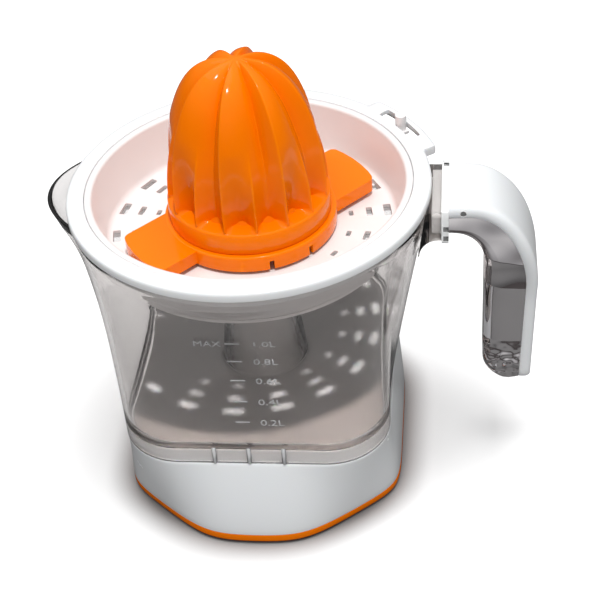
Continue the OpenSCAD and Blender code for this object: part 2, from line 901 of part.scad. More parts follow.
function cone_loop(z) =
    loop([for (i = [0:cone_around - 1]) cone_rad(360 * i / cone_around, z)], z);
function plain_loop(r, z) = ring_loop(r, z, cone_around);

module large_cone() {
    color("orange")
        skin([
            plain_loop(0.5, cone_top - 8),
            plain_loop(7, cone_top - 9.5),
            plain_loop(11.5, cone_top - 13),
            plain_loop(17, cone_top - 20),
            plain_loop(23.2, cone_top - 34),
            plain_loop(25.8, flute_foot + 5),
            plain_loop(26, flute_foot - 2),
            plain_loop(cone_r - 2.8, collar_top - 3),
            plain_loop(cone_r - 2.6, flange_top),
            plain_loop(cone_r - 0.4, flange_top),
            plain_loop(cone_r - 0.5, collar_top - 0.8),
            plain_loop(cone_r - 1.4, collar_top),
            for (z = [flute_foot, 156, 161, 167, 173, 179, 185, 190, 195, 200]) cone_loop(z),
            for (d = [12, 8.5, 5.5, 3.2, 1.4, 0.4]) cone_loop(cone_top - d),
            plain_loop(0.5, cone_top)
        ], capped = true);
}

base_shell();
base_trim();
base_plate();
foot_ring();
plate_screws();
motor_can();
motor_coil();
motor_screws();
gear_deck();
deck_screws();
gear_axle();
gear_bridge();
bridge_screws();
shaft_bush();
shaft_seal();
switch_body();
cord_gland();
rotor();
motor_pinion();
cluster_gear();
output_gear();
drive_shaft();
drive_head();
return_spring();
switch_plunger();
jug();
handle_grip();
handle_shell();
handle_pin();
strainer_ring();
strainer_basket();
pulp_selector();
small_cone();
large_cone();
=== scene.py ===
"""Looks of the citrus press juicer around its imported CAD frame.

Shapes are worked out in millimetres in the row frame (the drive shaft runs up Z, the handle
points along +X, the front faces -Y) and turned into metres when a mesh is made.
"""

import json
import math

import bmesh
import bpy
import numpy as np
from mathutils import Matrix, Vector


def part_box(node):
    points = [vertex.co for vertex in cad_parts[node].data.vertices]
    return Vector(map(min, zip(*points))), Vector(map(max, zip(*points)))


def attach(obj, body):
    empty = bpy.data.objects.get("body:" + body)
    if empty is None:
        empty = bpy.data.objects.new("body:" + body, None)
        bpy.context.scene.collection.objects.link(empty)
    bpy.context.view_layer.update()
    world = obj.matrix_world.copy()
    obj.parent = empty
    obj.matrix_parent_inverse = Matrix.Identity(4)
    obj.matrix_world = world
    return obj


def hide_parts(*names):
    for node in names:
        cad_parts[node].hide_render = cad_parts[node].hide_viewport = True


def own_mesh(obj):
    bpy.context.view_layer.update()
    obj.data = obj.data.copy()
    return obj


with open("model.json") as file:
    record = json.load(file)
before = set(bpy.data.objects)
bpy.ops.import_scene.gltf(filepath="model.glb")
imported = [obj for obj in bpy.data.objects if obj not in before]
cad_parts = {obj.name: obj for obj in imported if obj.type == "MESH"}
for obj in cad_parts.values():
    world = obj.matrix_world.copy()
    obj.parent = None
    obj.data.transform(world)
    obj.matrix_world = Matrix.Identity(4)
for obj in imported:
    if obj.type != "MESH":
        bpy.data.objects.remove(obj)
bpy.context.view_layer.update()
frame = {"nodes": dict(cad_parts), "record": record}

MM = 0.001


def cad(node):
    """Lowest and highest corner of a CAD node, in millimetres."""
    low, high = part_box(node)
    return np.array(low) / MM, np.array(high) / MM


# ---------- sizes, in millimetres ----------

trim_low, trim_high = cad("base_trim")
shell_low, shell_high = cad("handle_shell")
spring_low, spring_high = cad("return_spring")
jug_low = cad("jug")[0]
ring_high = cad("strainer_ring")[1]
cone_low, cone_high = cad("large_cone")

# the base: BASE_FRONT, BASE_SIDE and BASE_DIAGONAL are the distances of its facets
TRIM_Z = trim_high[2]
BASE_FRONT = 81.0
BASE_SIDE = 67.5
BASE_DIAGONAL = 77.0
BASE_WALL = 2.4
TOWER_TOP = 122.0
TOWER_FOOT_R = 16.6
TOWER_TOP_R = 10.2
BUSH_R = 7.0
BUSH_H = 14.0
SPRING_WIRE_R = 0.5
SPRING_TURNS = 6

# the jug: its skirt is a rounded rectangle that sits on the base's shoulder
SHOULDER_Z = jug_low[2]
JUG_HALF_X = 63.4
JUG_HALF_Y = 70.4
JUG_CORNER = 29.0
JUG_WALL = 2.2
JUG_FLOOR = 53.5
JUG_UNDER = JUG_FLOOR - JUG_WALL
PLATFORM_Z = JUG_UNDER - 0.5
# height of the two bands on the skirt that are painted dark as shade
SHADE_LINE_BAND = 0.9
TUBE_TOP = TOWER_TOP + 4.0
MOUTH_Z = 149.0
MOUTH_BAND = 6.0
SPOUT_FOOT_Z = 116.0
SPOUT_REACH = 12.3
SPOUT_HALF_ANGLE = 25.0

# the strainer
RING_R = ring_high[1]
RING_Z = ring_high[2]
MOUTH_R = RING_R - 1.5
RIM_R = RING_R - 8.4
LUG_R = RING_R + 6.0
LEDGE_Z = MOUTH_Z + 2.3
BOWL_R = RIM_R - 3.6
BOWL_FOOT_R = BOWL_R - 3.5
BOWL_WALL = 1.8
HUB_R = 8.2
FLOOR_Z = 130.0
LEVER_A = 35.0
LEVER_R = RING_R - 0.5
# rows of slots: distance from the axis, width and length of one slot
SLOT_ROWS = ((46, 2.2, 4), (54.5, 2.8, 6.8), (63, 3.6, 9))
SLOT_COLUMNS = 18
SLOT_START = 9.5

# the jug's hollow arm, whose end is a flange with small pockets at (y, z)
NECK_X = shell_low[0]
NECK_LOW = 134.2
NECK_TOP = MOUTH_Z + 1.8
NECK_HALF = 20.6
NECK_PLATE = 3.2
POCKET_HALF = 1.3
POCKETS = (
    (-NECK_HALF, NECK_LOW + 6.8),
    (-NECK_HALF, NECK_LOW + 1.8),
    (NECK_HALF - 4.0, NECK_TOP),
    (NECK_HALF, NECK_TOP),
)

# the cones
CONE_R = 37.8
CONE_TOP = cone_high[2]
COLLAR_TOP = 149.6
FLUTE_FOOT = COLLAR_TOP + 1.6
SHORT_RIB_TOP = 188.0
RIBS = 8
FIRST_RIB = -100.0
FLANGE_R = 39.6
FLANGE_Z = 131.6
FLANGE_TOP = cone_low[2]
DOME_R = 22.5
DOME_H = 50.0
SHELL_T = 1.8
SOCKET_R = 5.2
SOCKET_FOOT = FLOOR_Z + 4.4
SOCKET_TOP = 166.6
SLIT_TURNS = (-70, -41, 110, 139)
WING_LEN = 60.0
WING_A = 47.5
WING_LOW = -25.5
WING_HIGH = 8.0
WING_Z = FLANGE_Z + 1.0
WING_TOP = FLANGE_TOP - 0.2

# the handle: two halves that bend down from the arm, the outer one round (BEND_X, BEND_Z)
HANDLE_X = shell_high[0]
HANDLE_TOP = shell_high[2]
HANDLE_FOOT = shell_low[2]
HANDLE_HALF = shell_high[1]
GRIP_HALF = 14.5
GRIP_NARROW_Z = 92.0
BEND_X = 100.0
BEND_Z = 104.0
INNER_START = 1.8
INNER_REACH = 14.2
INNER_DROP = 17.8
INNER_X = NECK_X + INNER_START + INNER_REACH
INNER_Z = NECK_LOW - INNER_DROP - 0.2
TOE_X = 9.4
TOE_Z = 10.6
SHELL_DEPTH = 5.6
PIN_X = 97.0
PIN_Z = HANDLE_TOP - 3.4
PIN_R = 1.25


# ---------- outlines ----------


def angles(count):
    """Evenly spaced angles of a full turn."""
    return np.radians(np.arange(count) * 360.0 / count)


AROUND = angles(288)


def arc(centre, reach, degrees):
    """Points of an ellipse at the given angles; reach is its two half-widths."""
    turns = [math.radians(d) for d in degrees]
    return [(centre[0] + reach[0] * math.cos(t), centre[1] + reach[1] * math.sin(t)) for t in turns]


def rectangle(low, high):
    """The corners of a rectangle between its lowest and its highest corner."""
    return [low, (high[0], low[1]), high, (low[0], high[1])]


def ease(t):
    """A smooth step from 0 to 1."""
    return t * t * (3 - 2 * t)


def box_r(a, half_x, half_y, corner):
    """Distance from the axis to a rounded rectangle."""
    c, s = np.abs(np.cos(a)), np.abs(np.sin(a))
    cx, cy = half_x - corner, half_y - corner
    side = half_x / np.maximum(c, 1e-9)
    front = half_y / np.maximum(s, 1e-9)
    round_ = cx * c + cy * s + np.sqrt(np.maximum(0, corner**2 - (cx * s - cy * c) ** 2))
    return np.where(half_x * s <= cy * c, side, np.where(half_y * c <= cx * s, front, round_))


def skirt_r(a):
    """The jug's skirt, a rounded rectangle."""
    return box_r(a, JUG_HALF_X, JUG_HALF_Y, JUG_CORNER)


# the base's facets: the way each one faces and its distance from the axis
FACETS = (
    *((facing, BASE_SIDE) for facing in (0, 180)),
    *((facing, BASE_FRONT) for facing in (90, -90)),
    *((facing, BASE_DIAGONAL) for facing in (50, 130, -50, -130)),
)


def base_r(a, z):
    """The base's wall: eight soft facets at the table, the jug's skirt at the shoulder."""
    sharpness = 18
    facets = ((math.radians(facing), distance) for facing, distance in FACETS)
    pull = sum(np.maximum(0, np.cos(a - facing) / distance) ** sharpness for facing, distance in facets)
    t = min(1, z / SHOULDER_Z) ** 1.5
    return pull ** (-1 / sharpness) * (1 - t) + skirt_r(a) * t


def jug_r(a, z):
    """The jug's wall, growing from the skirt to the round mouth and the spout."""
    t = min(1, max(0, (z - JUG_FLOOR) / (MOUTH_Z - MOUTH_BAND - JUG_FLOOR)))
    late = 1 + 3.3 * np.abs(np.sin(a)) ** 4
    side = skirt_r(a) + (MOUTH_R - skirt_r(a)) * t**late
    off = np.abs((a % (2 * math.pi)) - math.pi) / math.radians(SPOUT_HALF_ANGLE)
    lift = max(0, (z - SPOUT_FOOT_Z) / (MOUTH_Z - SPOUT_FOOT_Z))
    return side + SPOUT_REACH * np.cos(math.pi / 2 * np.minimum(1, off)) ** 1.3 * lift**1.7


def loop(radii, z, a=AROUND):
    """A level loop of points round the axis."""
    radii = np.broadcast_to(np.asarray(radii, float), a.shape)
    return np.stack([radii * np.cos(a), radii * np.sin(a), np.full(a.shape, float(z))], 1)


def base_loop(z, inset=0.0):
    """The base's wall as a loop, moved in by inset."""
    return loop(base_r(AROUND, z) - inset, z)


def skirt_loop(z, inset=0.0):
    """The jug's skirt as a loop, moved in by inset."""
    return loop(skirt_r(AROUND) - inset, z)


def jug_loop(z, inset=0.0):
    """The jug's wall as a loop, moved in by inset."""
    return loop(jug_r(AROUND, z) - inset, z)


def soften(loops, cuts, steps=3):
    """Rounds the corners of a closed profile of loops; cuts says how far each is cut back."""
    out = []
    n = len(loops)
    for i in range(n):
        p, before, after = loops[i], loops[i - 1], loops[(i + 1) % n]
        if cuts[i] <= 0:
            out.append(p)
            continue
        back, on = before - p, after - p
        back_length = np.linalg.norm(back, axis=1, keepdims=True) + 1e-9
        on_length = np.linalg.norm(on, axis=1, keepdims=True) + 1e-9
        start = p + back / back_length * np.minimum(cuts[i], 0.45 * back_length)
        end = p + on / on_length * np.minimum(cuts[i], 0.45 * on_length)
        for k in range(steps + 1):
            t = k / steps
            out.append(start * (1 - t) ** 2 + 2 * p * t * (1 - t) + end * t**2)
    return out


def round_corners(outline, size, steps=4):
    """The same outline with its corners rounded; size is one distance or one for each corner."""
    sizes = size if isinstance(size, (list, tuple)) else [size] * len(outline)
    loops = [np.array([[u, v, 0.0]]) for u, v in outline]
    return [(p[0][0], p[0][1]) for p in soften(loops, sizes, steps)]


# ---------- meshes ----------


def assign(piece, body, replaces=()):
    """Ties a piece to its body and the CAD nodes that it stands in for."""
    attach(piece, body)
    if replaces:
        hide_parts(*replaces)


def new_mesh(name, points, faces, body=None, slot=None, replaces=(), material=None, sharp=None):
    """A smooth-shaded mesh object from points in millimetres."""
    mesh = bpy.data.meshes.new(name)
    mesh.from_pydata((np.asarray(points, float) * MM).tolist(), [], faces)
    mesh.validate()
    bm = bmesh.new()
    bm.from_mesh(mesh)
    bmesh.ops.recalc_face_normals(bm, faces=bm.faces)
    bm.to_mesh(mesh)
    bm.free()
    mesh.polygons.foreach_set("use_smooth", [True] * len(mesh.polygons))
    if sharp is not None:
        mesh.set_sharp_from_angle(angle=math.radians(sharp))
    piece = bpy.data.objects.new(name, mesh)
    bpy.context.scene.collection.objects.link(piece)
    if material is not None:
        mesh.materials.append(material)
    if body is not None:
        assign(piece, body, replaces)
    return piece


def skin_faces(rows, columns, around=True):
    """Quads over rows x columns points. The columns close on themselves, and so do the rows
    if around is true."""
    faces = []
    for i in range(rows if around else rows - 1):
        j = (i + 1) % rows
        for k in range(columns):
            m = (k + 1) % columns
            faces.append((i * columns + k, i * columns + m, j * columns + m, j * columns + k))
    return faces


def skin(name, corners, **kind):
    """A closed skin through (loop, cut) pairs, each corner cut back and rounded."""
    loops = soften([one for one, _ in corners], [cut for _, cut in corners])
    return new_mesh(name, np.concatenate(loops), skin_faces(len(loops), len(loops[0])), **kind)


def lathe(name, profile, columns, **kind):
    """A closed solid of revolution from (r, z, cut) corners."""
    a = angles(columns)
    return skin(name, [(loop(r, z, a), cut) for r, z, cut in profile], **kind)


def tube(name, loops, **kind):
    """A skin over open-ended loops, closed by flat ends."""
    n, m = len(loops[0]), len(loops)
    faces = skin_faces(m, n, around=False)
    faces += [tuple(range(n)), tuple(range(m * n - 1, (m - 1) * n - 1, -1))]
    return new_mesh(name, np.concatenate(loops), faces, **kind)


def prism(name, outline, low, high, axis="z", **kind):
    """A straight prism over an outline; axis is the way it is extruded."""
    n = len(outline)
    turn = {
        "z": lambda u, v, w: (u, v, w),
        "y": lambda u, v, w: (u, w, v),
        "x": lambda u, v, w: (w, u, v),
    }[axis]
    points = [turn(u, v, w) for w in (low, high) for u, v in outline]
    faces = [(k, (k + 1) % n, n + (k + 1) % n, n + k) for k in range(n)]
    faces += [tuple(range(n)), tuple(range(2 * n - 1, n - 1, -1))]
    return new_mesh(name, points, faces, **kind)


def boolean(piece, tool, operation):
    """Applies a boolean and drops the tool."""
    change = piece.modifiers.new("cut", "BOOLEAN")
    change.operation = operation
    change.object = tool
    change.solver = "EXACT"
    apply_modifiers(piece)
    bpy.data.objects.remove(tool)


def apply_modifiers(piece):
    """Swaps the piece's mesh for the one its modifiers make."""
    graph = bpy.context.evaluated_depsgraph_get()
    mesh = bpy.data.meshes.new_from_object(piece.evaluated_get(graph))
    piece.modifiers.clear()
    old = piece.data
    piece.data = mesh
    bpy.data.meshes.remove(old)


def bevel(piece, width, segments=2, limit=35):
    """Rounds the piece's sharp edges, width in millimetres."""
    change = piece.modifiers.new("edges", "BEVEL")
    change.width = width * MM
    change.segments = segments
    change.limit_method = "ANGLE"
    change.angle_limit = math.radians(limit)
    change.harden_normals = False


def join(name, pieces):
    """One mesh object out of several that don't touch."""
    points, faces = [], []
    for piece in pieces:
        start = len(points)
        points += [tuple(v.co / MM) for v in piece.data.vertices]
        faces += [tuple(start + i for i in p.vertices) for p in piece.data.polygons]
        bpy.data.objects.remove(piece)
    return new_mesh(name, points, faces)


def turned(piece, degrees):
    """Turns a mesh about the row's Z axis."""
    c, s = math.cos(math.radians(degrees)), math.sin(math.radians(degrees))
    for v in piece.data.vertices:
        x, y, z = v.co
        v.co = (c * x - s * y, s * x + c * y, z)
    return piece


def set_stops(ramp, stops):
    """Gives a colour ramp its stops: a position and a colour or a grey each."""
    while len(ramp.elements) < len(stops):
        ramp.elements.new(0.5)
    for element, (at, colour) in zip(ramp.elements, stops):
        element.position = at
        element.color = (*colour, 1) if isinstance(colour, tuple) else (colour,) * 3 + (1,)


# ---------- materials ----------


class Shader:
    """A node material with the few nodes this scene builds everything from."""

    def __init__(self, name, **values):
        self.material = bpy.data.materials.new(name)
        self.material.use_nodes = True
        self.nodes = self.material.node_tree.nodes
        self.links = self.material.node_tree.links
        self.principled = self.nodes["Principled BSDF"]
        self.place = self.nodes.new("ShaderNodeTexCoord").outputs["Object"]
        for socket, value in values.items():
            self.principled.inputs[socket.replace("_", " ")].default_value = value

    def link(self, source, socket):
        """Lets an output drive one of the shader's own sockets."""
        self.links.new(source, self.principled.inputs[socket])

    def noise(self, scale, detail=3.0, rough=0.55, stretch=(1, 1, 1)):
        """A cloudy noise; scale counts its clouds per metre."""
        mapping = self.nodes.new("ShaderNodeMapping")
        mapping.inputs["Scale"].default_value = stretch
        self.links.new(self.place, mapping.inputs["Vector"])
        texture = self.nodes.new("ShaderNodeTexNoise")
        texture.inputs["Scale"].default_value = scale
        texture.inputs["Detail"].default_value = detail
        texture.inputs["Roughness"].default_value = rough
        self.links.new(mapping.outputs[0], texture.inputs["Vector"])
        return texture.outputs["Fac"]

    def feed(self, socket, value):
        """Sets a node's socket to a number or a colour, or links an output to it."""
        if isinstance(value, (int, float)):
            socket.default_value = value
        elif isinstance(value, tuple):
            socket.default_value = (*value, 1)
        else:
            self.links.new(value, socket)

    def mix(self, share, source, other, blend="MIX"):
        """Blends two colours; each value is plain or an output."""
        node = self.nodes.new("ShaderNodeMix")
        node.data_type = "RGBA"
        node.blend_type = blend
        self.feed(node.inputs["Factor"], share)
        self.feed(node.inputs["A"], source)
        self.feed(node.inputs["B"], other)
        return node.outputs["Result"]

    def ramp(self, source, *stops):
        """Turns a value into a colour or a grey through (position, colour) stops."""
        node = self.nodes.new("ShaderNodeValToRGB")
        set_stops(node.color_ramp, stops)
        self.links.new(source, node.inputs["Fac"])
        return node.outputs["Color"]

    def bump(self, source, strength, distance, under=None):
        """Makes the surface uneven; under is the output of an earlier bump to add to."""
        node = self.nodes.new("ShaderNodeBump")
        node.inputs["Strength"].default_value = strength
        node.inputs["Distance"].default_value = distance
        self.links.new(source, node.inputs["Height"])
        if under is not None:
            self.links.new(under, node.inputs["Normal"])
        self.link(node.outputs["Normal"], "Normal")
        return node.outputs["Normal"]

    def math(self, operation, *values):
        """A Math node; each value is a number or an output."""
        node = self.nodes.new("ShaderNodeMath")
        node.operation = operation
        for socket, value in zip(node.inputs, values):
            self.feed(socket, value)
        return node.outputs[0]

    def height(self):
        """Height above the table, in metres."""
        axes = self.nodes.new("ShaderNodeSeparateXYZ")
        self.links.new(self.place, axes.inputs[0])
        return axes.outputs["Z"]

    def height_share(self, low, high, wobble, waves):
        """0 at the height low and 1 at high, in millimetres, with a noise's waves added."""
        span = (high - low) * MM
        even = self.math("MULTIPLY_ADD", self.height(), 1 / span, -low * MM / span)
        return self.math("MULTIPLY_ADD", wobble, waves * MM / span, even)

    def painted_edge_highlight(self, colour, highlight_colour):
        """Painted highlight: blends towards a lighter colour where the surface turns sharply outwards.
        """
        # painted highlight: sharp convex edges get a lighter colour
        point = self.nodes.new("ShaderNodeNewGeometry").outputs["Pointiness"]
        return self.mix(self.ramp(point, (0.5, 0.0), (0.62, 1.0)), colour, highlight_colour)

    def lamps_pass(self, low_tint, high_tint, split):
        """Lets light from lamps through, with one tint below the height split and another above,
        so that what is behind the clear wall is lit. Light from overhead meets the floor
        squarely and the walls at a slant, which pass less."""
        out = self.nodes["Material Output"]
        path = self.nodes.new("ShaderNodeLightPath")
        above = self.math("GREATER_THAN", self.height(), split)
        tint = self.ramp(above, (0.0, low_tint), (1.0, high_tint))
        clear = self.nodes.new("ShaderNodeBsdfTransparent")
        self.links.new(tint, clear.inputs["Color"])
        mix = self.nodes.new("ShaderNodeMixShader")
        self.links.new(path.outputs["Is Shadow Ray"], mix.inputs["Fac"])
        self.links.new(self.principled.outputs[0], mix.inputs[1])
        self.links.new(clear.outputs[0], mix.inputs[2])
        self.links.new(mix.outputs[0], out.inputs["Surface"])

    def absorb(self, colour, density):
        """Darkens light by the length of its way through the piece, so that edges look darker."""
        volume = self.nodes.new("ShaderNodeVolumeAbsorption")
        volume.inputs["Color"].default_value = (*colour, 1)
        volume.inputs["Density"].default_value = density
        self.links.new(volume.outputs[0], self.nodes["Material Output"].inputs["Volume"])


def moulded(name, dark, light, rough=(0.24, 0.28), coat=0.2, bump=0.05, edge_highlight_colour=None, **values):
    """Injection-moulded plastic: slight cloudiness, a fine orange-peel skin, uneven gloss and a painted
    highlight on sharp edges.
    """
    s = Shader(name, Coat_Weight=coat, Coat_Roughness=0.08, **values)
    tone = s.ramp(s.noise(14, 2), (0.2, dark), (0.8, light))
    # painted highlight on sharp edges, lighter than the plastic's own tone
    s.link(s.painted_edge_highlight(tone, edge_highlight_colour or light), "Base Color")
    gloss = s.ramp(s.noise(60, 3), (0.2, rough[0]), (0.8, rough[1]))
    s.link(gloss, "Roughness")
    s.bump(s.noise(900, 2), bump, 0.2 * MM)
    return s.material


def white_plastic():
    """The housing, the ring and the handle's outer half."""
    return moulded(
        "white plastic", (0.83, 0.835, 0.845), (0.86, 0.865, 0.87), Subsurface_Weight=0.04,
    )


def basket_plastic():
    """The strainer's bowl, a little warmer than the ring."""
    return moulded(
        "basket plastic", (0.83, 0.805, 0.80), (0.86, 0.845, 0.84), rough=(0.3, 0.36), coat=0.1,
    )


def orange_plastic():
    """The cones and the band round the foot."""
    return moulded(
        "orange plastic", (0.86, 0.165, 0.0), (0.94, 0.195, 0.0), rough=(0.12, 0.16), coat=0.15,
        # a brighter orange painted on sharp edges as a highlight
        edge_highlight_colour=(1.0, 0.25, 0.002), Subsurface_Weight=0.03, Subsurface_Radius=(0.003, 0.001, 0.0003),
        Specular_IOR_Level=0.12,
    )


def gear_plastic():
    """Cream gears."""
    dark, light = (0.70, 0.66, 0.54), (0.80, 0.77, 0.66)
    return moulded("gear plastic", dark, light, rough=(0.4, 0.55), coat=0)


def grey_plastic():
    """The base plate and the gear bridge, with a coarse grain."""
    dark, light = (0.50, 0.50, 0.51), (0.60, 0.60, 0.61)
    return moulded("grey plastic", dark, light, rough=(0.4, 0.6), coat=0, bump=0.3)


def dark_plastic():
    """The switch and the cord's gland."""
    dark, light = (0.02, 0.02, 0.022), (0.05, 0.05, 0.052)
    return moulded("dark plastic", dark, light, rough=(0.35, 0.5), coat=0)


def rubber():
    """The ring underneath and the shaft's seal."""
    dark, light = (0.02, 0.02, 0.02), (0.06, 0.06, 0.06)
    return moulded("rubber", dark, light, rough=(0.65, 0.85), coat=0, bump=0.5)


def clear_plastic():
    """The jug's walls, which look darker the longer the way through them."""
    s = Shader(
        "clear plastic", Transmission_Weight=1.0, IOR=1.47, Base_Color=(0.90, 0.885, 0.88, 1),
        Specular_IOR_Level=0.5,
    )
    s.link(s.ramp(s.noise(250, 2), (0.4, 0.0), (0.8, 0.015)), "Roughness")
    s.bump(s.noise(9, 1), 0.03, 1 * MM)
    s.lamps_pass((0.95, 0.945, 0.94), (0.70, 0.66, 0.635), (JUG_FLOOR + 3) * MM)
    s.absorb((0.5, 0.46, 0.44), 70)
    return s.material


def clear_arm():
    """The same plastic where the jug's hollow arm has no deep walls to look along."""
    s = Shader("clear arm", Transmission_Weight=0.2, IOR=1.47, Base_Color=(0.97, 0.98, 0.98, 1))
    s.link(s.ramp(s.noise(250, 2), (0.4, 0.0), (0.8, 0.02)), "Roughness")
    s.bump(s.noise(30, 1, stretch=(1, 0.2, 1)), 0.1, 1 * MM)
    s.lamps_pass((0.9, 0.9, 0.9), (0.9, 0.9, 0.9), 0.0)
    return s.material


def painted_edge_shade():
    """Painted shade: clear plastic where a wall meets a floor or ends, and in the arm's pockets,
    painted nearly black, unevenly, for the dark look of clear plastic seen edge on.
    """
    s = Shader("clear plastic painted shade", Transmission_Weight=1.0, IOR=1.47, Roughness=0.05)
    # painted shade: a near-black, uneven base colour
    s.link(s.ramp(s.noise(40, 2, stretch=(1, 1, 0.2)), (0.35, 0.05), (0.75, 0.4)), "Base Color")
    return s.material


def clear_rib():
    """The little clear ribs, which catch the light along their edges."""
    s = Shader("clear rib", Transmission_Weight=0.35, IOR=1.47, Roughness=0.15)
    s.link(s.ramp(s.noise(200, 2), (0.3, (0.80, 0.81, 0.83)), (0.7, (0.92, 0.93, 0.94))), "Base Color")
    return s.material


def print_ink():
    """The grey of the volume marks."""
    s = Shader("print ink", Roughness=0.5)
    s.link(s.ramp(s.noise(300, 2), (0.3, (0.44, 0.44, 0.45)), (0.7, (0.60, 0.60, 0.61))), "Base Color")
    return s.material


def bright_grip():
    """The handle's plated inner half: a wavy mirror that leans back towards the jug and is
    crinkled at the foot."""
    s = Shader("plated grip", Metallic=1.0)
    s.link(s.ramp(s.noise(30, 3), (0.3, (0.76, 0.73, 0.735)), (0.7, (0.84, 0.81, 0.82))), "Base Color")
    s.link(s.ramp(s.noise(60, 4), (0.3, 0.03), (0.7, 0.08)), "Roughness")
    share = s.height_share(HANDLE_FOOT, HANDLE_TOP, s.noise(30, 1), 14)
    lean = s.bump(s.ramp(share, (0.0, 1.0), (0.62, 1.0), (0.78, 0.735), (1.0, 0.0)), 1.0, 28 * MM)
    foot = s.ramp(share, (0.0, 1.0), (0.15, 0.8), (0.3, 0.0))
    crinkles = s.math("MULTIPLY", foot, s.noise(90, 2))
    s.bump(crinkles, 1.0, 14 * MM, lean)
    return s.material


def steel():
    """Streaky brushed steel."""
    s = Shader("steel", Metallic=1.0)
    streak = s.noise(160, 4, 0.7, stretch=(1, 1, 12))
    s.link(s.ramp(streak, (0.3, 0.45), (0.7, 0.60)), "Base Color")
    s.link(s.ramp(streak, (0.3, 0.22), (0.7, 0.4)), "Roughness")
    s.bump(streak, 0.15, 0.2 * MM)
    return s.material


def copper_winding():
    """Enamelled wire, wound in fine turns."""
    s = Shader("copper winding", Metallic=1.0, Coat_Weight=0.5)
    wave = s.nodes.new("ShaderNodeTexWave")
    wave.wave_type = "BANDS"
    wave.bands_direction = "Z"
    wave.inputs["Scale"].default_value = 260
    s.links.new(s.place, wave.inputs["Vector"])
    turns = wave.outputs["Fac"]
    s.link(s.ramp(turns, (0.2, (0.25, 0.09, 0.03)), (0.8, (0.72, 0.33, 0.14))), "Base Color")
    s.link(s.ramp(s.noise(90), (0.3, 0.25), (0.7, 0.4)), "Roughness")
    s.bump(turns, 0.6, 0.4 * MM)
    return s.material


def bronze():
    """The sintered bush, porous and dull."""
    s = Shader("sintered bronze", Metallic=1.0)
    pores = s.noise(500, 3)
    s.link(s.ramp(pores, (0.35, (0.35, 0.21, 0.08)), (0.65, (0.62, 0.42, 0.19))), "Base Color")
    s.link(s.ramp(pores, (0.3, 0.35), (0.7, 0.6)), "Roughness")
    s.bump(s.noise(700, 2), 0.4, 0.3 * MM)
    return s.material


def floor_finish():
    """White to the eye, but it throws back less light, and clear parts show it as a small sheet with
    painted dark all round, like a dark room. A painted contact shadow darkens it close to what stands
    on it."""
    s = Shader("pale floor", Specular_IOR_Level=0.1, Roughness=0.7)
    path = s.nodes.new("ShaderNodeLightPath")
    from_middle = s.nodes.new("ShaderNodeVectorMath")
    from_middle.operation = "LENGTH"
    s.links.new(s.place, from_middle.inputs[0])
    # painted shade: for rays other than the camera's the floor is painted darker, in reflections, in
    # bounced light, and through clear parts away from the middle
    sheet = s.ramp(from_middle.outputs["Value"], (0.25, 0.8), (0.45, 0.1))
    tone = s.ramp(path.outputs["Is Glossy Ray"], (0.0, 0.42), (1.0, 0.15))
    looks = {
        "Is Transmission Ray": sheet,
        "Is Camera Ray": (1.0, 1.0, 1.0),
        "Diffuse Depth": (0.36, 0.36, 0.36),
    }
    for seen_by, level in looks.items():
        tone = s.mix(path.outputs[seen_by], tone, level)
    # painted contact shadow: ambient occlusion darkens the floor's colour next to what stands on it
    near = s.nodes.new("ShaderNodeAmbientOcclusion")
    near.inputs["Distance"].default_value = 16 * MM
    shade = s.ramp(near.outputs["AO"], (0.5, 0.25), (1.0, 1.0))
    s.link(s.mix(1.0, tone, shade, "MULTIPLY"), "Base Color")
    return s.material


WHITE = white_plastic()
ORANGE = orange_plastic()
CLEAR = clear_plastic()
PAINTED_SHADE = painted_edge_shade()
ARM = clear_arm()
RIB = clear_rib()
BASKET = basket_plastic()
GRIP = bright_grip()
GEAR = gear_plastic()
GREY = grey_plastic()
DARK = dark_plastic()
RUBBER = rubber()
STEEL = steel()
COPPER = copper_winding()
BRONZE = bronze()
INK = print_ink()


# ---------- camera, light and floor ----------


def make_camera():
    """A long lens that looks down on the front, turned a little towards the handle."""
    azimuth, elevation, roll = (math.radians(d) for d in (8.54, 38.44, -5.07))
    target = Vector((15.4, -9.6, 94.0)) * MM
    distance = 677.5 * MM
    back = Vector((
        math.sin(azimuth) * math.cos(elevation),
        -math.cos(azimuth) * math.cos(elevation),
        math.sin(elevation),
    ))
    camera = bpy.data.objects.new("camera", bpy.data.cameras.new("camera"))
    bpy.context.scene.collection.objects.link(camera)
    camera.data.lens = 86.0
    camera.data.sensor_width = 36.0
    camera.data.shift_x = 0.0187
    camera.data.shift_y = -0.0058
    camera.location = target + back * distance
    camera.rotation_mode = "QUATERNION"
    look = back.to_track_quat("Z", "Y").to_matrix() @ Matrix.Rotation(roll, 3, "Z")
    camera.rotation_quaternion = look.to_quaternion()
    bpy.context.scene.camera = camera


def make_world():
    """A pale room: white overhead, greyer and warmer low down, where glossy parts mirror it."""
    world = bpy.data.worlds.new("studio")
    bpy.context.scene.world = world
    world.use_nodes = True
    nodes, links = world.node_tree.nodes, world.node_tree.links
    place = nodes.new("ShaderNodeTexCoord")
    axes = nodes.new("ShaderNodeSeparateXYZ")
    ramp = nodes.new("ShaderNodeValToRGB")
    set_stops(ramp.color_ramp, (
        (0.0, (0.10, 0.09, 0.09)),
        (0.15, (0.14, 0.13, 0.13)),
        (0.45, (0.5, 0.5, 0.51)),
        (0.75, (1, 1, 1)),
    ))
    links.new(place.outputs["Generated"], axes.inputs[0])
    links.new(axes.outputs["Z"], ramp.inputs["Fac"])
    links.new(ramp.outputs["Color"], nodes["Background"].inputs["Color"])
    nodes["Background"].inputs["Strength"].default_value = 0.7


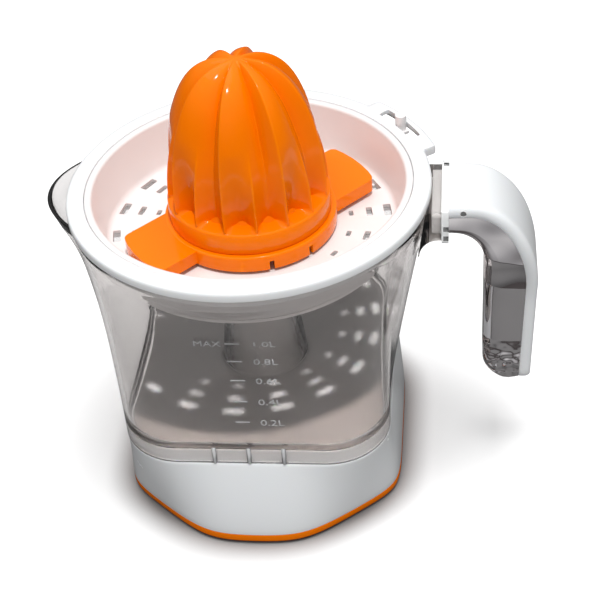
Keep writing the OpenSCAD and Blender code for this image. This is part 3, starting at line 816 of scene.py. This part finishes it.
def area_light(name, place, target, size, power):
    """A white rectangular lamp at place that shines towards target."""
    light = bpy.data.lights.new(name, "AREA")
    light.shape = "RECTANGLE"
    light.size, light.size_y = size
    light.energy = power
    lamp = bpy.data.objects.new(name, light)
    bpy.context.scene.collection.objects.link(lamp)
    lamp.location = place
    lamp.rotation_mode = "QUATERNION"
    lamp.rotation_quaternion = (Vector(place) - Vector(target)).to_track_quat("Z", "Y")
    return lamp


def make_lights(floor, bowl):
    """A compact key whose light falls through the slots, soft light on the object from all round,
    and a wide lamp for the floor alone, which has only soft shadows."""
    centre = (0, 0, 0.1)
    key = area_light("key", (0.19, -0.44, 1.6), centre, (0.07, 0.07), 15)
    top = area_light("top", (-0.2, 0.3, 1.6), centre, (1.2, 1.2), 4.6)
    front = area_light("front", (0.4, -1.5, 0.7), centre, (1.6, 0.9), 4.0)
    front.visible_glossy = False
    wide = area_light("floor lamp", (0.1, -0.05, 1.3), (0.1, -0.05, 0), (0.9, 0.9), 19)
    on_floor = bpy.data.collections.new("lit by the floor lamp")
    on_floor.objects.link(floor)
    wide.light_linking.receiver_collection = on_floor
    for lamp, dark in ((key, (floor,)), (top, (floor,)), (front, (floor, bowl))):
        lamp.light_linking.receiver_collection = all_but(dark)


def all_but(pieces):
    """A light-linking collection that leaves the given pieces out."""
    unlit = bpy.data.collections.new("left out")
    for number, piece in enumerate(pieces):
        unlit.objects.link(piece)
        unlit.collection_objects[number].light_linking.link_state = "EXCLUDE"
    return unlit


def make_floor():
    """The table, twelve metres square."""
    half = 6000
    corners = [(x, y, 0) for x, y in rectangle((-half, -half), (half, half))]
    floor = new_mesh("floor", corners, [(0, 1, 2, 3)], material=floor_finish())
    return floor


# ---------- base ----------


def make_base_shell():
    """The white housing: up the outside, over the platform and the tower, and down the inside."""
    corners = [(base_loop(z), 0.35 if z == TRIM_Z else 0) for z in np.linspace(TRIM_Z, 41, 12)]
    corners += [
        (skirt_loop(SHOULDER_Z), 0.9),
        (skirt_loop(SHOULDER_Z, JUG_WALL + 0.6), 0.3),
        (skirt_loop(PLATFORM_Z, JUG_WALL + 0.8), 1.4),
        (loop(TOWER_FOOT_R + 0.6, PLATFORM_Z), 0),
        (loop(TOWER_FOOT_R, PLATFORM_Z + 2), 0.5),
        (loop(TOWER_TOP_R, TOWER_TOP), 1),
        (loop(BUSH_R, TOWER_TOP), 0.3),
        (loop(BUSH_R, TOWER_TOP - BUSH_H), 0),
        (loop(BUSH_R + 0.6, TOWER_TOP - BUSH_H), 0),
        (loop(TOWER_FOOT_R - BASE_WALL, PLATFORM_Z - BASE_WALL), 1),
        (skirt_loop(PLATFORM_Z - BASE_WALL, JUG_WALL + 3.4), 1),
        (skirt_loop(SHOULDER_Z - 2, JUG_WALL + 3.4), 1),
    ]
    for z in np.linspace(36, TRIM_Z, 6):
        corners.append((base_loop(z, BASE_WALL), 0.3 if z == TRIM_Z else 0))
    skin("base_housing", corners, body="base", slot="white_plastic", replaces=["base_shell"],
         material=WHITE)


def make_base_trim():
    """The orange band round the foot."""
    low = trim_low[2]
    corners = [
        (base_loop(low, 0.6), 0.3),
        (base_loop(low + 0.8), 0.5),
        (base_loop(TRIM_Z), 0.4),
        (base_loop(TRIM_Z, BASE_WALL), 0.2),
        (base_loop(low, BASE_WALL), 0.2),
    ]
    skin("foot_band", corners, body="base", slot="orange_plastic", replaces=["base_trim"],
         material=ORANGE)


def make_spring():
    """The return spring under the shaft, which the sinking shaft presses together; here a fixed coil
    between the heights of its CAD node.
    """
    low, high = spring_low[2], spring_high[2]
    steps = 24 * SPRING_TURNS
    coil_r = spring_high[0] - SPRING_WIRE_R
    rise = high - low - 2 * SPRING_WIRE_R
    wire = angles(12)
    loops = []
    for i in range(steps + 1):
        a = 2 * math.pi * SPRING_TURNS * i / steps
        r = coil_r + SPRING_WIRE_R * np.cos(wire)
        z = low + SPRING_WIRE_R + rise * i / steps + SPRING_WIRE_R * np.sin(wire)
        loops.append(np.stack([r * math.cos(a), r * math.sin(a), z], 1))
    spring = tube("coil_spring", loops, body="base", slot="steel", replaces=["return_spring"],
                  material=STEEL)
    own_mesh(spring)


# ---------- jug ----------


def jug_corners():
    """The jug's closed profile: up the outside, down the inside, over the floor and the tube
    round the tower, and back underneath."""
    rise = [JUG_FLOOR, *np.linspace(58, 137, 14), 139, 141, MOUTH_Z - MOUTH_BAND]
    return [
        (skirt_loop(SHOULDER_Z), 0.5),
        (skirt_loop(SHOULDER_Z + SHADE_LINE_BAND), 0),
        (skirt_loop(JUG_FLOOR - SHADE_LINE_BAND), 0),
        *((jug_loop(z), 0) for z in rise),
        (jug_loop(MOUTH_Z), 1.0),
        (jug_loop(MOUTH_Z, JUG_WALL), 1.0),
        *((jug_loop(z, JUG_WALL), 0) for z in rise[:0:-1]),
        (skirt_loop(JUG_FLOOR, JUG_WALL + 0.2), 4),
        (loop(TOWER_FOOT_R + 4.0, JUG_FLOOR), 2.5),
        (loop(TOWER_TOP_R + 2.8, TUBE_TOP), 0.8),
        (loop(TOWER_TOP_R + 0.9, TUBE_TOP), 0.8),
        (loop(TOWER_FOOT_R + 1.2, JUG_UNDER), 1),
        (skirt_loop(JUG_UNDER, JUG_WALL + 0.3), 1),
        (skirt_loop(SHOULDER_Z, JUG_WALL), 0.5),
    ]


def make_jug():
    """The clear jug with its hollow arm and the ribs on its skirt."""
    jug = skin("clear_jug", jug_corners(), material=CLEAR)
    boolean(jug, make_neck(), "UNION")
    set_painted_shade_and_arm(jug)
    make_skirt_ribs()
    jug.data.set_sharp_from_angle(angle=math.radians(32))
    assign(jug, "jug", ["jug"])


def set_painted_shade_and_arm(jug):
    """Gives the lines and pockets painted dark as shade, and the arm, materials of their own."""
    edge, arm = 1, 2
    jug.data.materials.append(PAINTED_SHADE)
    jug.data.materials.append(ARM)
    for face in jug.data.polygons:
        x, y, z = face.center / MM
        # faces in the pockets and on the skirt's edge lines get the painted shade material
        if in_pocket(x, y, z) or on_painted_shade_line(x, y, z):
            face.material_index = edge
        elif x > MOUTH_R + 0.5 and abs(y) < NECK_HALF + 0.5:
            face.material_index = arm


def in_pocket(x, y, z):
    """Whether a point lies in one of the pockets of the arm's flange."""
    near = POCKET_HALF + 0.1
    return x > NECK_X - NECK_PLATE and any(
        abs(y - pocket_y) < near and abs(z - pocket_z) < near for pocket_y, pocket_z in POCKETS
    )


def on_painted_shade_line(x, y, z):
    """Whether a point lies on one of the skirt's two thin lines painted dark as shade: its lower edge
    and the floor's.
    """
    out = math.hypot(x, y) - float(skirt_r(np.array([math.atan2(y, x)]))[0])
    lowest = z < SHOULDER_Z + SHADE_LINE_BAND
    floor_line = JUG_FLOOR - SHADE_LINE_BAND < z < JUG_FLOOR
    return out > -0.3 and (lowest or floor_line)


def make_skirt_ribs():
    """Three short upright ribs on the front of the jug's skirt."""
    back, front = 0.3 - JUG_HALF_Y, -0.65 - JUG_HALF_Y
    for number, x in enumerate((-16.7, -0.5, 15.7)):
        outline = [(x - 1.1, back), (x - 0.3, front), (x + 0.3, front), (x + 1.1, back)]
        prism(f"skirt_rib_{number}", outline, SHOULDER_Z + 0.3, JUG_FLOOR - 0.3, body="jug",
              slot="clear_plastic", material=RIB)


def make_neck():
    """The hollow clear arm between the jug's wall and the handle, ending in a flange."""
    wall_x = MOUTH_R - 1.1
    below = NECK_LOW - 9
    top = MOUTH_Z - 0.1
    outline = [
        (NECK_X - 1, NECK_LOW),
        *arc((MOUTH_R + 4.5, below), (8.5, 9), range(90, 181, 10)),
        (wall_x - 3.5, below),
        (wall_x, top),
        (NECK_X - 1, top),
    ]
    arm = prism("arm", outline, -NECK_HALF + 1, NECK_HALF - 1, axis="y")
    face = round_corners(rectangle((-NECK_HALF, NECK_LOW - 1.4), (NECK_HALF, NECK_TOP)), 1.5)
    plate = prism("plate", face, NECK_X - NECK_PLATE, NECK_X - 0.02, axis="x")
    boolean(arm, plate, "UNION")
    for y, z in POCKETS:
        low, high = (y - POCKET_HALF, z - POCKET_HALF), (y + POCKET_HALF, z + POCKET_HALF)
        pocket = prism("pocket", rectangle(low, high), NECK_X - NECK_PLATE + 0.8, NECK_X + 1, axis="x")
        boolean(arm, pocket, "DIFFERENCE")
    low, high = (3.4 - NECK_HALF, NECK_LOW + 2.4), (NECK_HALF - 3.4, MOUTH_Z - 2.4)
    inside = round_corners(rectangle(low, high), 1.5)
    hollow = prism("hollow", inside, MOUTH_R + 1.6, NECK_X + 5, axis="x")
    boolean(arm, hollow, "DIFFERENCE")
    return arm


def front_y(x, z):
    """Where the jug's front face is at x and z."""
    y = -JUG_HALF_Y
    for _ in range(6):
        a = math.atan2(y, x)
        y = -float(jug_r(np.array([a]), z)[0]) * abs(math.sin(a))
    return y


def make_marks():
    """Printed volume marks on the jug's front: a tick and a number for every 0.2 litre."""
    levels = ((69.9, "0.2L"), (82.6, "0.4L"), (95.5, "0.6L"), (107.5, "0.8L"), (118.9, "1.0L"))
    drop = 1.9
    for number, (z, words) in enumerate(levels):
        lay_on_front(tick_mesh(-1.5, z), f"mark_tick_{number}")
        lay_on_front(label_mesh(words, 6.5, z - drop), f"mark_label_{number}")
    lay_on_front(label_mesh("MAX", -18.8, levels[-1][0] - drop, stretch=1.15), "mark_max")


def tick_mesh(x, z, length=6.5, height=0.7):
    """A flat strip in a few pieces, so that it can follow the wall."""
    steps = 6
    n = steps + 1
    points = [(x - length / 2 + length * k / steps, v, 0)
              for v in (z - height / 2, z + height / 2) for k in range(n)]
    return points, [(k, k + 1, n + k + 1, n + k) for k in range(steps)]


def label_mesh(words, x, z, size=5.0, stretch=1.3):
    """The flat outline of a printed number, from the built-in font."""
    curve = bpy.data.curves.new("label", "FONT")
    curve.body = words
    curve.size = size
    curve.resolution_u = 3
    text = bpy.data.objects.new("label", curve)
    bpy.context.scene.collection.objects.link(text)
    graph = bpy.context.evaluated_depsgraph_get()
    mesh = bpy.data.meshes.new_from_object(text.evaluated_get(graph))
    points = [(x + stretch * v.co.x, z + v.co.y, 0) for v in mesh.vertices]
    faces = [tuple(p.vertices) for p in mesh.polygons]
    bpy.data.objects.remove(text)
    bpy.data.meshes.remove(mesh)
    return points, faces


def lay_on_front(flat, name, proud=0.06, ink=0.05):
    """Lays a flat mesh in x and z on the jug's front and gives the ink a thickness."""
    points, faces = flat
    laid = [(x, front_y(x, z) - proud, z) for x, z, _ in points]
    mark = new_mesh(name, laid, faces, material=INK)
    change = mark.modifiers.new("ink", "SOLIDIFY")
    change.thickness = ink * MM
    change.offset = 0
    assign(mark, "jug")


# ---------- handle ----------


def outer_point(s, depth):
    """A point of the handle's outside seen from the side, s from 0 at the jug to 1 at the foot,
    moved in by depth."""
    arm, bend = 0.12, 0.62
    if s < arm:
        return NECK_X + (BEND_X - NECK_X) * s / arm, HANDLE_TOP - depth
    if s < bend:
        reach = (HANDLE_X - BEND_X - depth, HANDLE_TOP - BEND_Z - depth)
        return arc((BEND_X, BEND_Z), reach, [90 * (bend - s) / (bend - arm)])[0]
    t = (s - bend) / (1 - bend)
    return HANDLE_X - depth - 1.8 * t, BEND_Z + (HANDLE_FOOT - BEND_Z) * t


def inner_point(s):
    """The matching point of the handle's inside."""
    arm, bend, end = 0.06, 0.5, 0.93
    toe = HANDLE_FOOT + TOE_Z
    if s < arm:
        return NECK_X + INNER_START * s / arm, NECK_LOW
    if s < bend:
        turn = 90 * (bend - s) / (bend - arm)
        return arc((NECK_X + INNER_START, INNER_Z), (INNER_REACH, INNER_DROP), [turn])[0]
    if s < end:
        return INNER_X, INNER_Z + (toe - INNER_Z) * (s - bend) / (end - bend)
    turn = 180 + 90 * (s - end) / (1 - end)
    return arc((INNER_X + TOE_X, toe), (TOE_X, TOE_Z - 0.6), [turn])[0]


def handle_half(z):
    """Half of the handle's width, which narrows from the flange down to the grip."""
    t = min(1, max(0, (NECK_LOW - z) / (NECK_LOW - GRIP_NARROW_Z)))
    return HANDLE_HALF - (HANDLE_HALF - GRIP_HALF) * ease(t)


def handle_loop(section, inside, outside, narrow, lowest):
    """A section's (y, share) points between the handle's inside and outside, none below lowest."""
    inside, outside = np.array(inside), np.array(outside)
    points = []
    for y, share in section:
        x, z = inside + (outside - inside) * share
        points.append((x, y * narrow, max(z, lowest)))
    return np.array(points)


def shell_loop(s):
    """The white half at s, drawn in and rounded where the foot ends."""
    outside = outer_point(s, 0)
    gone = 1 - min(1, (1.001 - s) / 0.02)
    lowest = HANDLE_FOOT + 1.2 * (1 - math.sqrt(max(0, 1 - gone**2)))
    section = channel(handle_half(outside[1]))
    return handle_loop(section, outer_point(s, SHELL_DEPTH - 0.1), outside, 1 - 0.25 * gone, lowest)


def make_handle_shell():
    """The white outer half: a shallow channel whose lips wrap the plated half."""
    stations = [0, 0.004, 0.012, *np.linspace(0.03, 0.97, 60), 0.985, 0.994, 1.0]
    shell = tube("handle_outer", [shell_loop(s) for s in stations], body="jug",
                 slot="white_plastic", material=WHITE, replaces=["handle_shell"])
    reach = PIN_R + 0.1
    hole = arc((PIN_X, PIN_Z), (reach, reach), range(0, 360, 15))
    pin_hole = prism("pin_hole", hole, -HANDLE_HALF - 1, HANDLE_HALF + 1, axis="y")
    boolean(shell, pin_hole, "DIFFERENCE")
    shell.data.set_sharp_from_angle(angle=math.radians(50))


def channel(half):
    """Section of the white shell as (y, share of the depth), 1 at the outside."""
    corner = 3.2
    top = [(t, 1.0) for t in np.linspace(corner - half, half - corner, 13)]
    turns = [math.radians(t) for t in np.linspace(0, 90, 6)[1:]]
    side = [(half - corner + corner * math.sin(t), 1 - 0.58 * (1 - math.cos(t))) for t in turns]
    lip = ((0, 0.06), (0.3, 0.0), (1.6, 0.0), (2.0, 0.08), (2.2, 0.5), (4.0, 0.62))
    side += [(half - inwards, share) for inwards, share in lip]
    return top + side + [(-y, share) for y, share in reversed(side)]


def grip_loop(s):
    """The plated half at s."""
    outside = outer_point(min(s, 0.985), SHELL_DEPTH)
    section = grip_section(handle_half(outside[1]) - 0.7)
    return handle_loop(section, inner_point(s), outside, 1, HANDLE_FOOT + 0.4)


def make_handle_grip():
    """The plated inner half: flat sides, a crease, and a rounded inside for the fingers."""
    stations = [0, 0.01, *np.linspace(0.03, 0.92, 56), *np.linspace(0.93, 1.0, 10)]
    grip = tube("handle_inner", [grip_loop(s) for s in stations], body="jug",
                slot="smoke_plastic", material=GRIP, replaces=["handle_grip"])
    grip.data.set_sharp_from_angle(angle=math.radians(40))


def grip_section(half):
    """Section of the plated half as (y, share), 0 at the fingers and 1 at the white shell."""
    crease = 0.38
    flat = half * 0.52
    shell_side = [(half * t, 1.0) for t in np.linspace(-1, 1, 7)]
    side = [(half, 0.9), (half, crease + 0.03), (half - 0.15, crease)]
    for turn in np.linspace(0, 90, 7)[1:]:
        a = math.radians(turn)
        side.append((flat + (half - flat - 0.15) * math.cos(a), crease * (1 - math.sin(a))))
    finger_side = [(flat * t, 0.0) for t in (0.5, 0, -0.5)]
    return shell_side + side + finger_side + [(-y, share) for y, share in reversed(side)]


# ---------- strainer ----------


def make_ring():
    """The strainer's white ring, with the lug and the curved slot for the pulp lever."""
    a = angles(720)

    def step(at):
        return ease(np.clip((np.degrees(a) - at) / 1.6 + 0.5, 0, 1))

    lug = (LUG_R - RING_R) * step(18) * (1 - step(51))
    low = MOUTH_Z + 0.2
    skirt_out = MOUTH_R - JUG_WALL - 0.4
    skirt_in = skirt_out - 1.6
    corners = [
        (loop(RIM_R + 0.3, RING_Z, a), 0.5),
        (loop(RING_R + lug, RING_Z, a), 1.6),
        (loop(RING_R + lug, low, a), 0.5),
        (loop(skirt_out, low, a), 0.2),
        (loop(skirt_out, low - 5, a), 0.5),
        (loop(skirt_in, low - 5, a), 0.5),
        (loop(skirt_in, low, a), 0.2),
        (loop(BOWL_R + 2.4, low, a), 0.2),
        (loop(BOWL_R + 2.4, LEDGE_Z, a), 0.2),
        (loop(RIM_R + 0.3, LEDGE_Z, a), 0.1),
    ]
    ring = skin("strainer_rim", corners, material=WHITE)
    boolean(ring, arc_cutter(LEVER_R - 3, LEVER_R + 3, 9.4, low - 1, RING_Z + 1), "DIFFERENCE")
    boolean(ring, arc_cutter(BOWL_R + 0.2, LUG_R - 2, 12.4, low - 10, low + 2.6), "DIFFERENCE")
    ring.data.set_sharp_from_angle(angle=math.radians(35))
    assign(ring, "strainer", ["strainer_ring"])


def arc_cutter(r0, r1, half_angle, low, high):
    """A sector of a ring round the lever's place, to cut with, its corners rounded."""
    turns = np.linspace(LEVER_A - half_angle, LEVER_A + half_angle, 12)
    outline = arc((0, 0), (r1, r1), turns) + arc((0, 0), (r0, r0), turns[::-1])
    return prism("sector", round_corners(outline, 1.2, 3), low, high)


def make_basket():
    """The strainer's bowl, with a hub for the driving head and rows of slots in its floor."""
    under = FLOOR_Z - BOWL_WALL
    hub_top = FLOOR_Z + 3.4
    profile = [
        (HUB_R, under, 0.3),
        (BOWL_FOOT_R - 0.6, under, 1.5),
        (BOWL_FOOT_R + BOWL_WALL, FLOOR_Z + 0.6, 1.0),
        (BOWL_R + BOWL_WALL, MOUTH_Z, 0.3),
        (BOWL_R + BOWL_WALL, LEDGE_Z, 0.2),
        (RIM_R, LEDGE_Z, 0.2),
        (RIM_R, RING_Z - 0.3, 0.5),
        (BOWL_R + 0.3, RING_Z - 0.3, 1.3),
        (BOWL_FOOT_R - 0.2, FLOOR_Z, 2.5),
        (HUB_R + BOWL_WALL + 1, FLOOR_Z, 0.8),
        (HUB_R + BOWL_WALL, hub_top, 0.4),
        (HUB_R, hub_top, 0.4),
    ]
    basket = lathe("strainer_bowl", profile, 360, material=BASKET)
    cutters = []
    for i in range(SLOT_COLUMNS):
        for r, wide, long_ in SLOT_ROWS:
            outline = rectangle((r - wide / 2, -long_ / 2), (r + wide / 2, long_ / 2))
            cutter = prism("slot", round_corners(outline, 0.7, 3), under - 1, FLOOR_Z + 1)
            cutters.append(turned(cutter, SLOT_START + 360 * i / SLOT_COLUMNS))
    boolean(basket, join("slots", cutters), "DIFFERENCE")
    basket.data.set_sharp_from_angle(angle=math.radians(35))
    assign(basket, "strainer", ["strainer_basket"])
    return basket


# ---------- cones ----------


def cone_env(z):
    """Radius over the ribs of the large cone."""
    share = np.maximum(0, 1 - ((z - COLLAR_TOP) / (CONE_TOP - COLLAR_TOP)) ** 2)
    return CONE_R * share**0.36


def cone_rad(degrees, z):
    """Radius of the large cone: main ribs with one steep side, and short ribs between them below."""
    steep = 0.78
    turns = (degrees - FIRST_RIB) * RIBS / 360
    p = turns - np.floor(turns)
    main = np.where(p < steep, (p / steep) ** 1.6, (1 - p) / (1 - steep))
    q = 2 * p - np.floor(2 * p)
    flute = np.sin(np.pi * q) ** 0.7
    high = (z - COLLAR_TOP) / (CONE_TOP - COLLAR_TOP)
    low = max(0, (SHORT_RIB_TOP - z) / (SHORT_RIB_TOP - FLUTE_FOOT))
    env = cone_env(z)
    depth = 7.6 * min(1, 0.4 + 1.2 * high) * main * (1 - 0.85 * low) + 8.5 * low**1.3 * flute
    return env - np.minimum(0.52 * env, depth)


def make_large_cone():
    """The large pressing cone: down its hollow inside, round the collar and up over the ribs."""
    a = angles(480)
    plain = (
        (0.5, CONE_TOP - 8),
        (11.5, CONE_TOP - 13),
        (17, CONE_TOP - 20),
        (23.2, CONE_TOP - 34),
        (25.8, FLUTE_FOOT + 5),
        (CONE_R - 2.8, COLLAR_TOP - 3),
        (CONE_R - 2.6, FLANGE_TOP + 0.2),
        (CONE_R - 0.7, FLANGE_TOP + 0.2),
        (CONE_R - 0.4, FLANGE_TOP + 0.6),
        (CONE_R - 0.5, COLLAR_TOP - 0.9),
        (CONE_R - 0.8, COLLAR_TOP - 0.3),
        (CONE_R - 1.5, COLLAR_TOP),
    )
    tip = 14
    heights = [*np.linspace(FLUTE_FOOT, CONE_TOP - tip, 60)]
    heights += [CONE_TOP - tip * (1 - k / 24) ** 2 for k in range(1, 24)]
    loops = [loop(r, z, a) for r, z in plain]
    loops += [loop(cone_rad(np.degrees(a), z), z, a) for z in heights]
    loops.append(loop(0.5, CONE_TOP, a))
    tube("pressing_cone", loops, body="large_cone", slot="orange_plastic",
         replaces=["large_cone"], material=ORANGE, sharp=70)


def dome(radius, foot, degrees):
    """Corners along the small cone's dome, none of them rounded."""
    return [(r, z, 0) for r, z in arc((0, foot), (radius, DOME_H), degrees)]


def make_small_cone():
    """The small cone: flange, dome and driven socket, with two wings and four slits."""
    centre = 0.05
    inner_r = FLANGE_R - SHELL_T
    profile = [
        (FLANGE_R, FLANGE_Z, 0.4),
        (FLANGE_R, FLANGE_TOP, 1.0),
        (DOME_R + 2, FLANGE_TOP, 0.2),
        *dome(DOME_R, FLANGE_TOP, range(2, 90, 4)),
        (centre, FLANGE_TOP + DOME_H, 0),
        (centre, SOCKET_TOP, 0),
        (SOCKET_R, SOCKET_TOP, 0),
        (SOCKET_R, SOCKET_FOOT, 0.2),
        (SOCKET_R + 2, SOCKET_FOOT, 0.2),
        *dome(DOME_R - SHELL_T, FLANGE_TOP - SHELL_T, range(66, -1, -6)),
        (inner_r, FLANGE_TOP - SHELL_T, 0.3),
        (inner_r, FLANGE_Z, 0.4),
    ]
    cone = lathe("small_cone_body", profile, 192, material=ORANGE)
    for turn in (0, 180):
        boolean(cone, turned(make_wing(), WING_A + turn), "UNION")
    for turn in SLIT_TURNS:
        outline = rectangle((FLANGE_R - 3, -1.1), (FLANGE_R + 3, 1.1))
        slit = prism("slit", outline, FLANGE_Z - 2, FLANGE_Z + 4.5)
        boolean(cone, turned(slit, turn), "DIFFERENCE")
    cone.data.set_sharp_from_angle(angle=math.radians(35))
    bevel(cone, 0.7, segments=3, limit=40)
    assign(cone, "reamer", ["small_cone"])


def make_wing():
    """One sweeping wing, pointing along +X before it is turned."""
    start = FLANGE_R - 1.2
    low_turn, high_turn = (math.degrees(math.asin(y / WING_LEN)) for y in (WING_LOW, WING_HIGH))
    tip = arc((0, 0), (WING_LEN, WING_LEN), np.linspace(low_turn, high_turn, 6))
    root_low = (math.sqrt(start**2 - WING_LOW**2), WING_LOW)
    root_high = (math.sqrt(start**2 - WING_HIGH**2), WING_HIGH)
    outline = [root_low, *tip, root_high, (start, -6)]
    cuts = [3.0 if point in (tip[0], tip[-1]) else 0 for point in outline]
    return prism("wing", round_corners(outline, cuts), WING_Z, WING_TOP)


# ---------- CAD nodes that keep their shape ----------


def dress_cad_nodes():
    """Better materials and rounded edges for the CAD pieces that keep their shape."""
    looks = {
        "basket_plastic": BASKET, "gear_plastic": GEAR, "grey_plastic": GREY,
        "dark_plastic": DARK, "rubber": RUBBER, "steel": STEEL, "copper": COPPER,
        "bronze": BRONZE,
    }
    remade = ("strainer_basket", "return_spring")
    rounded = {
        "pulp_selector": 0.3, "drive_head": 0.5, "base_plate": 0.3, "cord_gland": 0.4,
        "foot_ring": 0.15, "switch_body": 0.4, "gear_bridge": 0.3, "drive_shaft": 0.3,
    }
    for part in frame["record"]["subparts"]:
        name, slot = part["node"], part["material_slot"]
        if slot not in looks or name in remade:
            continue
        node = frame["nodes"][name]
        node.data.materials.clear()
        node.data.materials.append(looks[slot])
        if name in rounded:
            bevel(node, rounded[name])


def set_view():
    """Plain colours, without a film look."""
    settings = bpy.context.scene.view_settings
    settings.view_transform = "Standard"
    settings.look = "None"
    settings.exposure = 0.0


make_camera()
make_world()
floor = make_floor()
set_view()
make_base_shell()
make_base_trim()
make_spring()
make_jug()
make_marks()
make_handle_shell()
make_handle_grip()
make_ring()
make_lights(floor, make_basket())
make_large_cone()
make_small_cone()
dress_cad_nodes()
